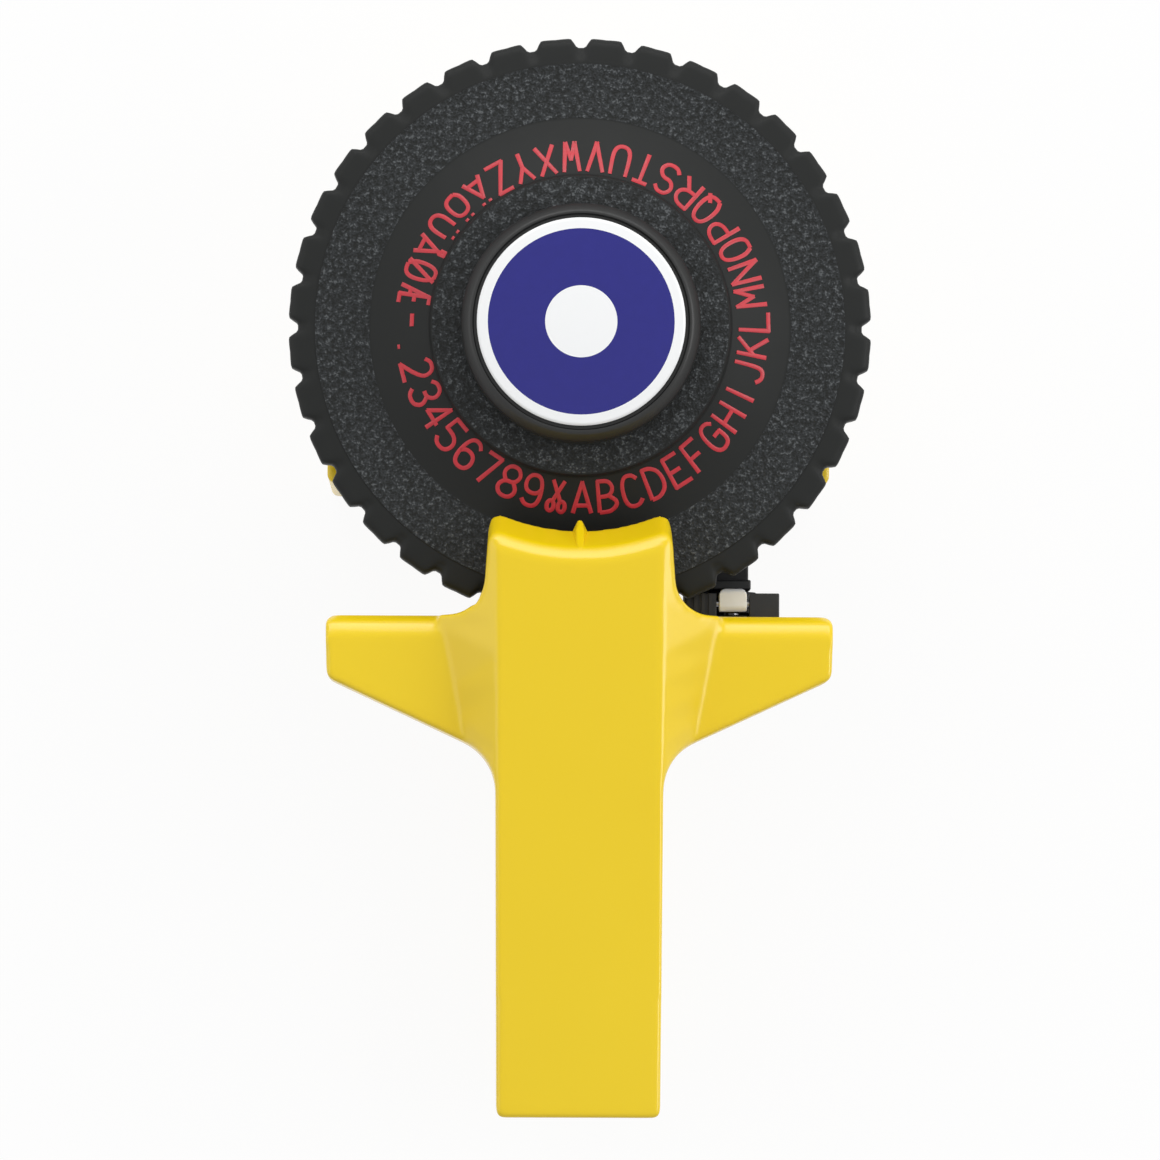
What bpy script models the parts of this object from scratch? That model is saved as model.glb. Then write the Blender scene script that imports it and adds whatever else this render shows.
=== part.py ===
"""Embossing label maker: a hand-squeezed tool that presses letters into plastic tape.

A yellow lower body carries a turning character dial with a pair of die rings under it. A yellow
T-shaped lever reaches over the dial's rim. Two arms carry it round the dies to a pin under the dial,
so that a squeeze brings the lever's nose down on the dial and the dies close on the tape.

Metres, +Z up, +Y towards the dial. Everything is modelled round the dial's axis and hung on one
empty, which puts the middle of the whole tool's base at the origin.
"""

import math

import bmesh
import bpy
from mathutils import Matrix, Vector

# Driving sizes of the whole tool
OVERALL_LENGTH = 0.1387
DIAL_RADIUS = 0.0375
BODY_INSET = 0.0049
HANDLE_HALF_WIDTH = 0.0107
CHARACTERS = 43
RIM_LOBES = 36
TAPE_WIDTH = 0.0094

# Walls, fits and fineness that all the pieces share
WALL = 0.0018
FIT_GAP = 0.0003
RUNNING_GAP = 0.0005
OVERRUN = 0.002
MERGE = 0.00001
ROUND_STEPS = 72
SMALL_STEPS = 16
CORNER_STEPS = 5

# Heights, from the table upwards
TAPE_UNDER = 0.0010
TAPE_OVER = 0.0011
SHELF_THICKNESS = 0.0015
BODY_TOP = 0.0277
DECK_THICKNESS = 0.0020
RING_THICKNESS = 0.0024
LANE_HEIGHT = 0.0016
DIAL_THICKNESS = 0.0042
TEXT_RISE = 0.0030
INNER_STEP = 0.0012
HUB_HEIGHT = 0.0051
NOSE_CLEARANCE = 0.0045
NOSE_HEIGHT = 0.0058
WING_DROP = 0.0055
WING_DEPTH = 0.0077
GRIP_DEPTH = 0.0102

CHAMBER_FLOOR = WALL
TAPE_LOW = CHAMBER_FLOOR + TAPE_UNDER
SHELF_LOW = TAPE_LOW + TAPE_WIDTH + TAPE_OVER
SHELF_TOP = SHELF_LOW + SHELF_THICKNESS
DECK_LOW = BODY_TOP + FIT_GAP
DECK_TOP = DECK_LOW + DECK_THICKNESS
LOWER_RING_LOW = DECK_TOP + RUNNING_GAP
LOWER_RING_HIGH = LOWER_RING_LOW + RING_THICKNESS
UPPER_RING_LOW = LOWER_RING_HIGH + LANE_HEIGHT
UPPER_RING_HIGH = UPPER_RING_LOW + RING_THICKNESS
DIAL_LOW = UPPER_RING_HIGH + FIT_GAP
DIAL_FACE = DIAL_LOW + DIAL_THICKNESS
TEXT_TOP = DIAL_FACE + TEXT_RISE
INNER_FACE = TEXT_TOP + INNER_STEP
HUB_LOW = INNER_FACE + FIT_GAP
HUB_TOP = HUB_LOW + HUB_HEIGHT
NOSE_LOW = DIAL_FACE + NOSE_CLEARANCE
LEVER_TOP = NOSE_LOW + NOSE_HEIGHT
WING_TOP = LEVER_TOP - WING_DROP
WING_LOW = WING_TOP - WING_DEPTH
GRIP_LOW = LEVER_TOP - GRIP_DEPTH

# Places along the tool, counted from the dial's axis
RING_INSET = 0.0017
NOSE_REACH = 0.0112
WING_OVERLAP = 0.0003
YOKE_CLEARANCE = 0.0013
YOKE_DEPTH = 0.0072
BODY_HALF_WIDTH = DIAL_RADIUS - BODY_INSET
HANDLE_END = DIAL_RADIUS - OVERALL_LENGTH
RING_RADIUS = DIAL_RADIUS - RING_INSET
NOSE_RADIUS = DIAL_RADIUS - NOSE_REACH
WING_FRONT = WING_OVERLAP - DIAL_RADIUS
YOKE_FRONT = -DIAL_RADIUS - YOKE_CLEARANCE
YOKE_REAR = YOKE_FRONT - YOKE_DEPTH

# The lever's pin, just ahead of the wheel post's foot, and its two arms
POST_FOOT_RADIUS = 0.0060
PIN_RADIUS = 0.0015
PIN_CLEARANCE = 0.0005
PIVOT_Y = POST_FOOT_RADIUS + PIN_CLEARANCE + PIN_RADIUS
ARM_HEIGHT = 0.0085
ARM_UNDER_DECK = 0.0007
ARM_LOW = BODY_TOP - ARM_UNDER_DECK - ARM_HEIGHT
PIVOT_Z = ARM_LOW + ARM_HEIGHT / 2

# Scene, collections and materials
for leftover in list(bpy.data.objects):
    bpy.data.objects.remove(leftover, do_unlink=True)

PARTS = bpy.data.collections.new("embossing_label_maker")
CUTTERS = bpy.data.collections.new("cutters")
bpy.context.scene.collection.children.link(PARTS)
bpy.context.scene.collection.children.link(CUTTERS)


def material(name, colour, roughness, metallic):
    """A Principled material with one colour, roughness and metallic value."""
    made = bpy.data.materials.new(name)
    made.use_nodes = True
    shader = made.node_tree.nodes["Principled BSDF"]
    shader.inputs["Base Color"].default_value = (*colour, 1)
    shader.inputs["Roughness"].default_value = roughness
    shader.inputs["Metallic"].default_value = metallic
    made.diffuse_color = (*colour, 1)
    return made


YELLOW = material("yellow_plastic", (0.84, 0.60, 0.03), 0.25, 0)
BLACK = material("black_plastic", (0.028, 0.030, 0.030), 0.5, 0)
DARK = material("dark_die_plastic", (0.045, 0.045, 0.05), 0.4, 0)
WHITE = material("white_plastic", (0.87, 0.87, 0.86), 0.35, 0)
STEEL = material("bright_steel", (0.62, 0.62, 0.64), 0.3, 1)
SPRING = material("spring_steel", (0.45, 0.45, 0.47), 0.35, 1)
TAPE = material("embossing_tape", (0.60, 0.03, 0.04), 0.3, 0)


# Shapes that the pieces are built from

def place(mesh, name, finish):
    """Put a finished mesh into the parts collection, or with no finish among the cutters."""
    mesh.name = name
    made = bpy.data.objects.new(name, mesh)
    if finish is None:
        CUTTERS.objects.link(made)
        made.hide_render = True
        made.display_type = "WIRE"
    else:
        PARTS.objects.link(made)
        mesh.materials.clear()
        mesh.materials.append(finish)
    mesh.shade_smooth()
    mesh.set_sharp_from_angle(angle=math.radians(30))
    return made


def mesh_of(source):
    """The evaluated mesh of a curve or a modified object, welded and where the object stands."""
    bpy.context.view_layer.update()
    ready = source.evaluated_get(bpy.context.evaluated_depsgraph_get())
    mesh = bpy.data.meshes.new_from_object(ready)
    mesh.transform(source.matrix_world)
    work = bmesh.new()
    work.from_mesh(mesh)
    bmesh.ops.remove_doubles(work, verts=work.verts, dist=MERGE)
    work.to_mesh(mesh)
    work.free()
    bpy.data.objects.remove(source, do_unlink=True)
    return mesh


def rounded(corners, inset=0.0):
    """A closed outline through corners (u, v, radius), counter-clockwise, moved in by inset."""
    outline = []
    count = len(corners)
    for index in range(count):
        before = Vector(corners[index - 1][:2])
        here = Vector(corners[index][:2])
        after = Vector(corners[(index + 1) % count][:2])
        radius = corners[index][2]
        inward = (here - before).normalized()
        outward = (after - here).normalized()
        normal_in = Vector((-inward.y, inward.x))
        normal_out = Vector((-outward.y, outward.x))
        corner = here + (normal_in + normal_out) * (inset / (1 + normal_in.dot(normal_out)))
        turn = math.atan2(inward.cross(outward), inward.dot(outward))
        side = 1 if turn > 0 else -1
        radius = max(radius - side * inset, 0.0) if radius > 0 else 0.0
        if radius == 0:
            outline.append(corner)
            continue
        start = corner - inward * (radius * math.tan(abs(turn) / 2))
        centre = start + normal_in * (side * radius)
        spoke = start - centre
        for step in range(CORNER_STEPS + 1):
            angle = turn * step / CORNER_STEPS
            outline.append(centre + Matrix.Rotation(angle, 2) @ spoke)
    return outline


def mirrored(right_side):
    """Corners of a symmetric outline, from its right side listed front to back."""
    left_side = [(-u, v, radius) for u, v, radius in right_side]
    return left_side + right_side[::-1]


def circle(radius, centre=(0, 0), steps=SMALL_STEPS):
    """A round outline."""
    angles = [math.tau * step / steps for step in range(steps)]
    return [Vector((centre[0] + radius * math.cos(a), centre[1] + radius * math.sin(a))) for a in angles]


# How an outline's u, v and the extrusion's w lie along x, y and z
PLANES = {
    "XY": Matrix(((1, 0, 0), (0, 1, 0), (0, 0, 1))),
    "YZ": Matrix(((0, 0, 1), (1, 0, 0), (0, 1, 0))),
    "XZ": Matrix(((1, 0, 0), (0, 0, -1), (0, 1, 0))),
}


def slab(name, outlines, low, high, finish=None, plane="XY"):
    """A flat outline with its holes, extruded from low to high across its plane."""
    curve = bpy.data.curves.new(name, "CURVE")
    curve.dimensions = "2D"
    curve.fill_mode = "BOTH"
    curve.extrude = (high - low) / 2
    for outline in outlines:
        spline = curve.splines.new("POLY")
        spline.points.add(len(outline) - 1)
        for point, (u, v) in zip(spline.points, outline):
            point.co = (u, v, 0, 1)
        spline.use_cyclic_u = True
    drawn = bpy.data.objects.new(name, curve)
    PARTS.objects.link(drawn)
    middle = (low + high) / 2
    turn = PLANES[plane]
    away = turn @ Vector((0, 0, middle if plane != "XZ" else -middle))
    drawn.matrix_world = Matrix.Translation(away) @ turn.to_4x4()
    return place(mesh_of(drawn), name, finish)


def block(name, low, high, finish=None):
    """A box between two opposite corners."""
    low = Vector(low)
    high = Vector(high)
    work = bmesh.new()
    bmesh.ops.create_cube(work, size=1)
    size = high - low
    bmesh.ops.scale(work, vec=size, verts=work.verts)
    bmesh.ops.translate(work, vec=(low + high) / 2, verts=work.verts)
    mesh = bpy.data.meshes.new(name)
    work.to_mesh(mesh)
    work.free()
    return place(mesh, name, finish)


def drum(name, start, end, radius, finish=None, end_radius=None, steps=SMALL_STEPS):
    """A round bar or cone from one point to another."""
    start = Vector(start)
    end = Vector(end)
    along = end - start
    turn = Vector((0, 0, 1)).rotation_difference(along).to_matrix().to_4x4()
    work = bmesh.new()
    bmesh.ops.create_cone(work, cap_ends=True, segments=steps, radius1=radius,
                          radius2=radius if end_radius is None else end_radius, depth=along.length)
    bmesh.ops.transform(work, matrix=Matrix.Translation((start + end) / 2) @ turn, verts=work.verts)
    mesh = bpy.data.meshes.new(name)
    work.to_mesh(mesh)
    work.free()
    return place(mesh, name, finish)


def turned(name, profile, finish=None, centre=(0, 0), steps=ROUND_STEPS):
    """A profile of (radius, height) points, listed down its outer side, turned round a +Z axis."""
    mesh = bpy.data.meshes.new(name)
    work = bmesh.new()
    points = [work.verts.new((radius, 0, height)) for radius, height in profile]
    for here, there in zip(points, points[1:]):
        work.edges.new((here, there))
    if profile[0][0] > 0:
        work.edges.new((points[-1], points[0]))
    work.to_mesh(mesh)
    work.free()
    drawn = bpy.data.objects.new(name, mesh)
    PARTS.objects.link(drawn)
    drawn.location = (*centre, 0)
    screw = drawn.modifiers.new("turn", "SCREW")
    screw.steps = steps
    screw.render_steps = steps
    screw.use_merge_vertices = True
    screw.merge_threshold = MERGE
    return place(mesh_of(drawn), name, finish)


def ring(name, inner, outer, low, high, finish=None, centre=(0, 0), steps=SMALL_STEPS):
    """A plain turned ring."""
    profile = [(inner, high), (outer, high), (outer, low), (inner, low)]
    return turned(name, profile, finish, centre, steps)


def combine(target, other, operation):
    """Add one object to another, or cut it away, with a live Boolean modifier."""
    change = target.modifiers.new(other.name, "BOOLEAN")
    change.operation = operation
    change.object = other
    change.solver = "EXACT"
    if other.name in PARTS.objects:
        PARTS.objects.unlink(other)
        CUTTERS.objects.link(other)
    other.hide_render = True
    other.display_type = "WIRE"


def cut(target, *tools):
    for tool in tools:
        combine(target, tool, "DIFFERENCE")


def add(target, *others):
    for other in others:
        combine(target, other, "UNION")


def group(name, members):
    """Like cutters, made one cutter that takes them all away at once."""
    work = bmesh.new()
    for member in members:
        mesh = mesh_of(member)
        work.from_mesh(mesh)
        bpy.data.meshes.remove(mesh)
    mesh = bpy.data.meshes.new(name)
    work.to_mesh(mesh)
    work.free()
    return place(mesh, name, None)


def screws(name, spots, finish, top, head_radius, head_height, shank_radius, length, upwards=False):
    """A round-headed screw at each spot (x, y), with the head's flat top at height top."""
    way = -1 if upwards else 1
    made = []
    for number, (x, y) in enumerate(spots, 1):
        profile = [(0, top), (head_radius, top), (head_radius, top - way * head_height),
                   (shank_radius, top - way * head_height), (shank_radius, top - way * length),
                   (0, top - way * length)]
        if upwards:
            profile.reverse()
        numbered = f"{name}_{number}" if len(spots) > 1 else name
        made.append(turned(numbered, profile, finish, (x, y), SMALL_STEPS))
    return made


# Lower body: housing, neck and lower grip in one yellow moulding, hollow from above and below
RIM_OVERHANG = 0.0015
REAR_SETBACK = 0.0164
HOUSING_CORNER = 0.0010
HOUSING_STEPS = 24
NECK_HALF_WIDTH = 0.0072
NECK_BEHIND_YOKE = 0.0040
NECK_FLARE = 0.0060
NECK_SLOPE = 0.0120
LOWER_GRIP_HALF_WIDTH = 0.0098
LOWER_GRIP_TOP = 0.0170
LOWER_GRIP_SETBACK = 0.0030
LOWER_GRIP_CORNER = 0.0030
SHOULDER_CORNER = 0.0020
HOUSING_RADIUS = DIAL_RADIUS - RIM_OVERHANG
HOUSING_REAR = REAR_SETBACK - RING_RADIUS
NECK_REAR = YOKE_REAR - NECK_BEHIND_YOKE
LOWER_GRIP_FRONT = NECK_REAR - NECK_FLARE
LOWER_GRIP_SLOPE_END = NECK_REAR - NECK_SLOPE
LOWER_GRIP_END = HANDLE_END + LOWER_GRIP_SETBACK


def housing_outline(inset=0.0):
    """Front of the housing round the dial's axis, straight sides and a square rear."""
    radius = HOUSING_RADIUS - inset
    half = BODY_HALF_WIDTH - inset
    rear = HOUSING_REAR + inset
    first = math.acos(half / radius)
    angles = [first + (math.pi - 2 * first) * step / HOUSING_STEPS for step in range(HOUSING_STEPS + 1)]
    corners = [(radius * math.cos(a), radius * math.sin(a), 0) for a in angles]
    corners += [(-half, rear, HOUSING_CORNER), (half, rear, HOUSING_CORNER)]
    return rounded(corners)


def spine(name, inset, low):
    """Neck and lower grip: a plan outline and a side outline, crossed."""
    front = HOUSING_REAR + WALL / 2 - inset
    plan = mirrored([
        (NECK_HALF_WIDTH, front + inset, 0),
        (NECK_HALF_WIDTH, NECK_REAR, SHOULDER_CORNER),
        (LOWER_GRIP_HALF_WIDTH, LOWER_GRIP_FRONT, SHOULDER_CORNER),
        (LOWER_GRIP_HALF_WIDTH, LOWER_GRIP_END, LOWER_GRIP_CORNER),
    ])
    if inset > 0:
        plan = [(u, min(v, HOUSING_REAR + inset), radius) for u, v, radius in plan]
    side = rounded([
        (HOUSING_REAR + WALL, low, 0),
        (HOUSING_REAR + WALL, BODY_TOP - inset, 0),
        (NECK_REAR, BODY_TOP - inset, SHOULDER_CORNER),
        (LOWER_GRIP_SLOPE_END, LOWER_GRIP_TOP - inset, SHOULDER_CORNER),
        (LOWER_GRIP_END - OVERRUN, LOWER_GRIP_TOP - inset, 0),
        (LOWER_GRIP_END - OVERRUN, low, 0),
    ])
    made = slab(name, [rounded(plan, inset)], low, BODY_TOP + OVERRUN)
    wide = LOWER_GRIP_HALF_WIDTH + OVERRUN
    combine(made, slab(name + "_side", [side], -wide, wide, plane="YZ"), "INTERSECT")
    return made


lower_body = slab("lower_body", [housing_outline()], 0, BODY_TOP, YELLOW)
cut(lower_body, slab("mechanism_space", [housing_outline(WALL)], SHELF_TOP, BODY_TOP + OVERRUN))
cut(lower_body, slab("tape_space", [housing_outline(WALL)], CHAMBER_FLOOR, SHELF_LOW))
add(lower_body, spine("neck_and_grip", 0, 0))
cut(lower_body, spine("neck_hollow", WALL, -OVERRUN))

# The magazine's round opening in the floor, with a notch in front for the cover's hinge
MAGAZINE_RADIUS = 0.0220
MAGAZINE_MARGIN = 0.0042
MAGAZINE_Y = HOUSING_RADIUS - WALL - MAGAZINE_MARGIN - MAGAZINE_RADIUS
HINGE_AHEAD = 0.0014
HINGE_Y = MAGAZINE_Y + MAGAZINE_RADIUS + HINGE_AHEAD
HINGE_Z = 0.0013
HINGE_KNUCKLE = 0.0012
HINGE_HALF_WIDTH = 0.0060
HINGE_PIN_RADIUS = 0.0005
HINGE_CHEEK = 0.0030

cut(lower_body, drum("magazine_opening", (0, MAGAZINE_Y, -OVERRUN),
                     (0, MAGAZINE_Y, CHAMBER_FLOOR + OVERRUN), MAGAZINE_RADIUS, steps=ROUND_STEPS))
cut(lower_body, block("hinge_notch",
                      (-HINGE_HALF_WIDTH - FIT_GAP, MAGAZINE_Y, -OVERRUN),
                      (HINGE_HALF_WIDTH + FIT_GAP, HINGE_Y + HINGE_KNUCKLE + FIT_GAP,
                       CHAMBER_FLOOR + OVERRUN)))
for side in (-1, 1):
    near = HINGE_HALF_WIDTH + FIT_GAP
    low_x, high_x = sorted((side * near, side * (near + HINGE_CHEEK)))
    cheek = block("hinge_cheek", (low_x, HINGE_Y - HINGE_KNUCKLE, CHAMBER_FLOOR / 2),
                  (high_x, HINGE_Y + HINGE_KNUCKLE, HINGE_Z + HINGE_KNUCKLE))
    add(lower_body, cheek)
hinge_reach = HINGE_HALF_WIDTH + FIT_GAP + HINGE_CHEEK
cut(lower_body, drum("hinge_bore", (-hinge_reach - OVERRUN, HINGE_Y, HINGE_Z),
                     (hinge_reach + OVERRUN, HINGE_Y, HINGE_Z), HINGE_PIN_RADIUS + FIT_GAP))

# Spindle that the tape core sits on, and the slot that the tape leaves through
SPINDLE_RADIUS = 0.0048
SPINDLE_UP = 0.0004
FEED_INSET = 0.0127
TAPE_SLOT_OFFSET = 0.0016
TAPE_SLOT_HALF = 0.0010
FEED_X = BODY_HALF_WIDTH - FEED_INSET
TAPE_SLOT_X = FEED_X + TAPE_SLOT_OFFSET

add(lower_body, drum("spindle", (0, MAGAZINE_Y, TAPE_LOW + SPINDLE_UP),
                     (0, MAGAZINE_Y, SHELF_LOW + SHELF_THICKNESS / 2), SPINDLE_RADIUS))
cut(lower_body, block("tape_slot",
                      (TAPE_SLOT_X - TAPE_SLOT_HALF, HOUSING_REAR - OVERRUN, TAPE_LOW),
                      (TAPE_SLOT_X + TAPE_SLOT_HALF, HOUSING_REAR + WALL + OVERRUN, TAPE_LOW + TAPE_WIDTH)))

# Lugs for the lever's pin, with the two arms' slots through the rear wall
ARM_GAP = 0.0008
ARM_THICKNESS = 0.0024
LUG_THICKNESS = 0.0030
LUG_HALF_LENGTH = 0.0042
SLOT_DROP = 0.0030
ARM_INNER = NECK_HALF_WIDTH + ARM_GAP
ARM_OUTER = ARM_INNER + ARM_THICKNESS
LUG_INNER = ARM_OUTER + RUNNING_GAP
LUG_OUTER = LUG_INNER + LUG_THICKNESS

for side in (-1, 1):
    low_x, high_x = sorted((side * LUG_INNER, side * LUG_OUTER))
    add(lower_body, block("pin_lug", (low_x, PIVOT_Y - LUG_HALF_LENGTH, SHELF_TOP - SHELF_THICKNESS / 2),
                          (high_x, PIVOT_Y + LUG_HALF_LENGTH, PIVOT_Z + LUG_HALF_LENGTH)))
    low_x, high_x = sorted((side * (ARM_INNER - RUNNING_GAP), side * (ARM_OUTER + RUNNING_GAP)))
    cut(lower_body, block("arm_slot", (low_x, HOUSING_REAR - OVERRUN, ARM_LOW - SLOT_DROP),
                          (high_x, HOUSING_REAR + WALL + OVERRUN, BODY_TOP + OVERRUN)))
cut(lower_body, drum("pin_bore", (-LUG_OUTER - OVERRUN, PIVOT_Y, PIVOT_Z),
                     (LUG_OUTER + OVERRUN, PIVOT_Y, PIVOT_Z), PIN_RADIUS + FIT_GAP))

# Bosses for the deck's screws
DECK_SCREW_INSET = 0.0076
DECK_SCREW_FROM_FRONT = 0.0250
DECK_SCREW_FROM_REAR = 0.0074
DECK_BOSS_RADIUS = 0.0030
DECK_SHANK_RADIUS = 0.0010
DECK_SHANK_LENGTH = 0.0080
DECK_HEAD_RADIUS = 0.0023
DECK_HEAD_HEIGHT = 0.0008
DECK_HEAD_SINK = 0.0001
DECK_SCREW_X = BODY_HALF_WIDTH - DECK_SCREW_INSET
DECK_SCREW_ROWS = (HOUSING_RADIUS - DECK_SCREW_FROM_FRONT, HOUSING_REAR + DECK_SCREW_FROM_REAR)
DECK_SCREW_SPOTS = [(side * DECK_SCREW_X, y) for side in (-1, 1) for y in DECK_SCREW_ROWS]

for x, y in DECK_SCREW_SPOTS:
    add(lower_body, drum("deck_boss", (x, y, SHELF_TOP - SHELF_THICKNESS / 2), (x, y, BODY_TOP - FIT_GAP),
                         DECK_BOSS_RADIUS))
    cut(lower_body, drum("deck_boss_bore", (x, y, BODY_TOP - DECK_SHANK_LENGTH), (x, y, BODY_TOP + OVERRUN),
                         DECK_SHANK_RADIUS + FIT_GAP))

# Seat of the return spring on the lower grip
SPRING_SETBACK = 0.0040
SPRING_RADIUS = 0.0045
SPRING_Y = LOWER_GRIP_SLOPE_END - SPRING_SETBACK
SPRING_WIRE = 0.0005
SPRING_SEAT_RADIUS = 0.0031
SPRING_SEAT_HEIGHT = 0.0025

add(lower_body, drum("spring_seat", (0, SPRING_Y, LOWER_GRIP_TOP - WALL / 2),
                     (0, SPRING_Y, LOWER_GRIP_TOP + SPRING_SEAT_HEIGHT), SPRING_SEAT_RADIUS))

# Deck plate: closes the housing under the dies
POST_RADIUS = 0.0050
FINGER_LENGTH = 0.0092
DETENT_INSET = 0.0026
DETENT_Y = RING_RADIUS - FINGER_LENGTH - DETENT_INSET
DETENT_HALF_WIDTH = 0.0014
DETENT_HALF_LENGTH = 0.0062
DETENT_THICKNESS = 0.0003
DETENT_RECESS = 0.0008
DETENT_HUMP = 0.0010
DETENT_HUMP_HALF = 0.0016

post_hole = circle(POST_RADIUS + FIT_GAP)[::-1]
deck_plate = slab("deck_plate", [housing_outline(), post_hole], DECK_LOW, DECK_TOP, YELLOW)
for x, y in DECK_SCREW_SPOTS:
    cut(deck_plate, drum("deck_hole", (x, y, DECK_LOW - OVERRUN), (x, y, DECK_TOP + OVERRUN),
                         DECK_SHANK_RADIUS + FIT_GAP))
    head_floor = DECK_TOP - DECK_HEAD_SINK - DECK_HEAD_HEIGHT - FIT_GAP
    cut(deck_plate, drum("deck_counterbore", (x, y, head_floor), (x, y, DECK_TOP + OVERRUN),
                         DECK_HEAD_RADIUS + FIT_GAP))
recess_half_x = DETENT_HALF_LENGTH + FIT_GAP
recess_half_y = DETENT_HALF_WIDTH + FIT_GAP
cut(deck_plate, block("detent_recess", (-recess_half_x, DETENT_Y - recess_half_y, DECK_TOP - DETENT_RECESS),
                      (recess_half_x, DETENT_Y + recess_half_y, DECK_TOP + OVERRUN)))
deck_screws = screws("deck_screw", DECK_SCREW_SPOTS, STEEL, DECK_TOP - DECK_HEAD_SINK, DECK_HEAD_RADIUS,
                     DECK_HEAD_HEIGHT, DECK_SHANK_RADIUS, DECK_SHANK_LENGTH)

# Detent spring: a bent leaf whose hump springs into the lower ring's grooves
leaf_low = DECK_TOP - DETENT_RECESS + FIT_GAP
leaf_line = [(-DETENT_HALF_LENGTH, leaf_low), (-DETENT_HUMP_HALF, leaf_low), (0, leaf_low + DETENT_HUMP),
             (DETENT_HUMP_HALF, leaf_low), (DETENT_HALF_LENGTH, leaf_low)]
leaf = leaf_line + [(u, v + DETENT_THICKNESS) for u, v in leaf_line[::-1]]
detent_spring = slab("detent_spring", [leaf], DETENT_Y - DETENT_HALF_WIDTH, DETENT_Y + DETENT_HALF_WIDTH,
                     SPRING, plane="XZ")

# Wheel post: steel, stands on the shelf and comes up through the deck
SLEEVE_RADIUS = 0.0080
RECESS_RADIUS = 0.0110
RECESS_DEPTH = 0.0038
POST_STAND = 0.0011
POST_SCREW_RADIUS = 0.0015
POST_SCREW_DEPTH = 0.0080
POST_HEAD_RADIUS = 0.0032
POST_HEAD_HEIGHT = 0.0020
HUB_SKIRT_WALL = 0.0011
WASHER_ROOM = 0.0012
HUB_SKIRT_INNER = RECESS_RADIUS - FIT_GAP - HUB_SKIRT_WALL
WASHER_RADIUS = HUB_SKIRT_INNER - WASHER_ROOM
WASHER_THICKNESS = 0.0008
WAVE_INNER = 0.0058
WAVE_THICKNESS = 0.0005
RECESS_FLOOR = INNER_FACE - RECESS_DEPTH
POST_TOP = RECESS_FLOOR + POST_STAND
POST_HOLE_FLOOR = POST_TOP - POST_SCREW_DEPTH - OVERRUN
SCREW_HOLE = POST_SCREW_RADIUS + FIT_GAP

wheel_post = turned("wheel_post", [
    (0, POST_HOLE_FLOOR), (SCREW_HOLE, POST_HOLE_FLOOR), (SCREW_HOLE, POST_TOP), (POST_RADIUS, POST_TOP),
    (POST_RADIUS, BODY_TOP), (POST_FOOT_RADIUS, BODY_TOP), (POST_FOOT_RADIUS, SHELF_TOP + FIT_GAP),
    (0, SHELF_TOP + FIT_GAP)], STEEL, steps=SMALL_STEPS)
washer_low = POST_TOP + FIT_GAP
washer_high = washer_low + WASHER_THICKNESS
post_washer = ring("post_washer", SCREW_HOLE, WASHER_RADIUS, washer_low, washer_high, STEEL)
post_screw, = screws("post_screw", [(0, 0)], STEEL, washer_high + FIT_GAP + POST_HEAD_HEIGHT,
                     POST_HEAD_RADIUS, POST_HEAD_HEIGHT, POST_SCREW_RADIUS,
                     POST_HEAD_HEIGHT + POST_SCREW_DEPTH)
wave_low = RECESS_FLOOR + FIT_GAP
wave_washer = ring("wave_washer", WAVE_INNER, WASHER_RADIUS, wave_low, wave_low + WAVE_THICKNESS, SPRING)

# Character dial: scalloped rim, flat textured ring, sloping text ring and raised centre
TEXT_OUTER = 0.0270
INNER_RADIUS = 0.0193
INNER_DRAFT = 0.0002
RIM_RING_WIDTH = 0.0033
RIM_FALL = 0.0006
LOBE_DEPTH = 0.0012
NOTCH_RADIUS = 0.00125
NOTCH_STEPS = 8
TEXT_INNER = INNER_RADIUS + INNER_DRAFT
RIM_RING_INNER = DIAL_RADIUS - RIM_RING_WIDTH
DIAL_BORE = POST_RADIUS + FIT_GAP

dial = turned("dial", [
    (RECESS_RADIUS, INNER_FACE), (INNER_RADIUS, INNER_FACE), (TEXT_INNER, TEXT_TOP),
    (TEXT_OUTER, DIAL_FACE), (RIM_RING_INNER, DIAL_FACE), (DIAL_RADIUS, DIAL_FACE - RIM_FALL),
    (DIAL_RADIUS, DIAL_LOW), (SLEEVE_RADIUS, DIAL_LOW), (SLEEVE_RADIUS, LOWER_RING_LOW),
    (DIAL_BORE, LOWER_RING_LOW), (DIAL_BORE, RECESS_FLOOR), (RECESS_RADIUS, RECESS_FLOOR)], BLACK)
notch_centre = DIAL_RADIUS + NOTCH_RADIUS - LOBE_DEPTH
notches = []
for lobe in range(RIM_LOBES):
    angle = math.tau * lobe / RIM_LOBES
    spot = (notch_centre * math.cos(angle), notch_centre * math.sin(angle))
    notches.append(drum("notch", (*spot, DIAL_LOW - OVERRUN), (*spot, DIAL_FACE + OVERRUN), NOTCH_RADIUS,
                        steps=NOTCH_STEPS))
cut(dial, group("rim_notches", notches))


def round_the_dial(name, count, first, low, high):
    """Copies of one box, set out round the dial's axis from the angle first."""
    copies = []
    for index in range(count):
        copy = block(name, low, high)
        copy.data.transform(Matrix.Rotation(first + math.tau * index / CHARACTERS, 4, "Z"))
        copies.append(copy)
    return group(name, copies)


# Die rings: a finger for each character, cut apart by slots. The dies themselves are too small to model.
FINGER_SLOT_HALF = 0.0003
SPACER_RADIUS = 0.0200
GROOVE_HALF_WIDTH = 0.0012
GROOVE_DEPTH = 0.0009
GROOVE_HALF_LENGTH = 0.0022
RING_BORE = SLEEVE_RADIUS + FIT_GAP
HALF_PITCH = math.pi / CHARACTERS

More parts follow.
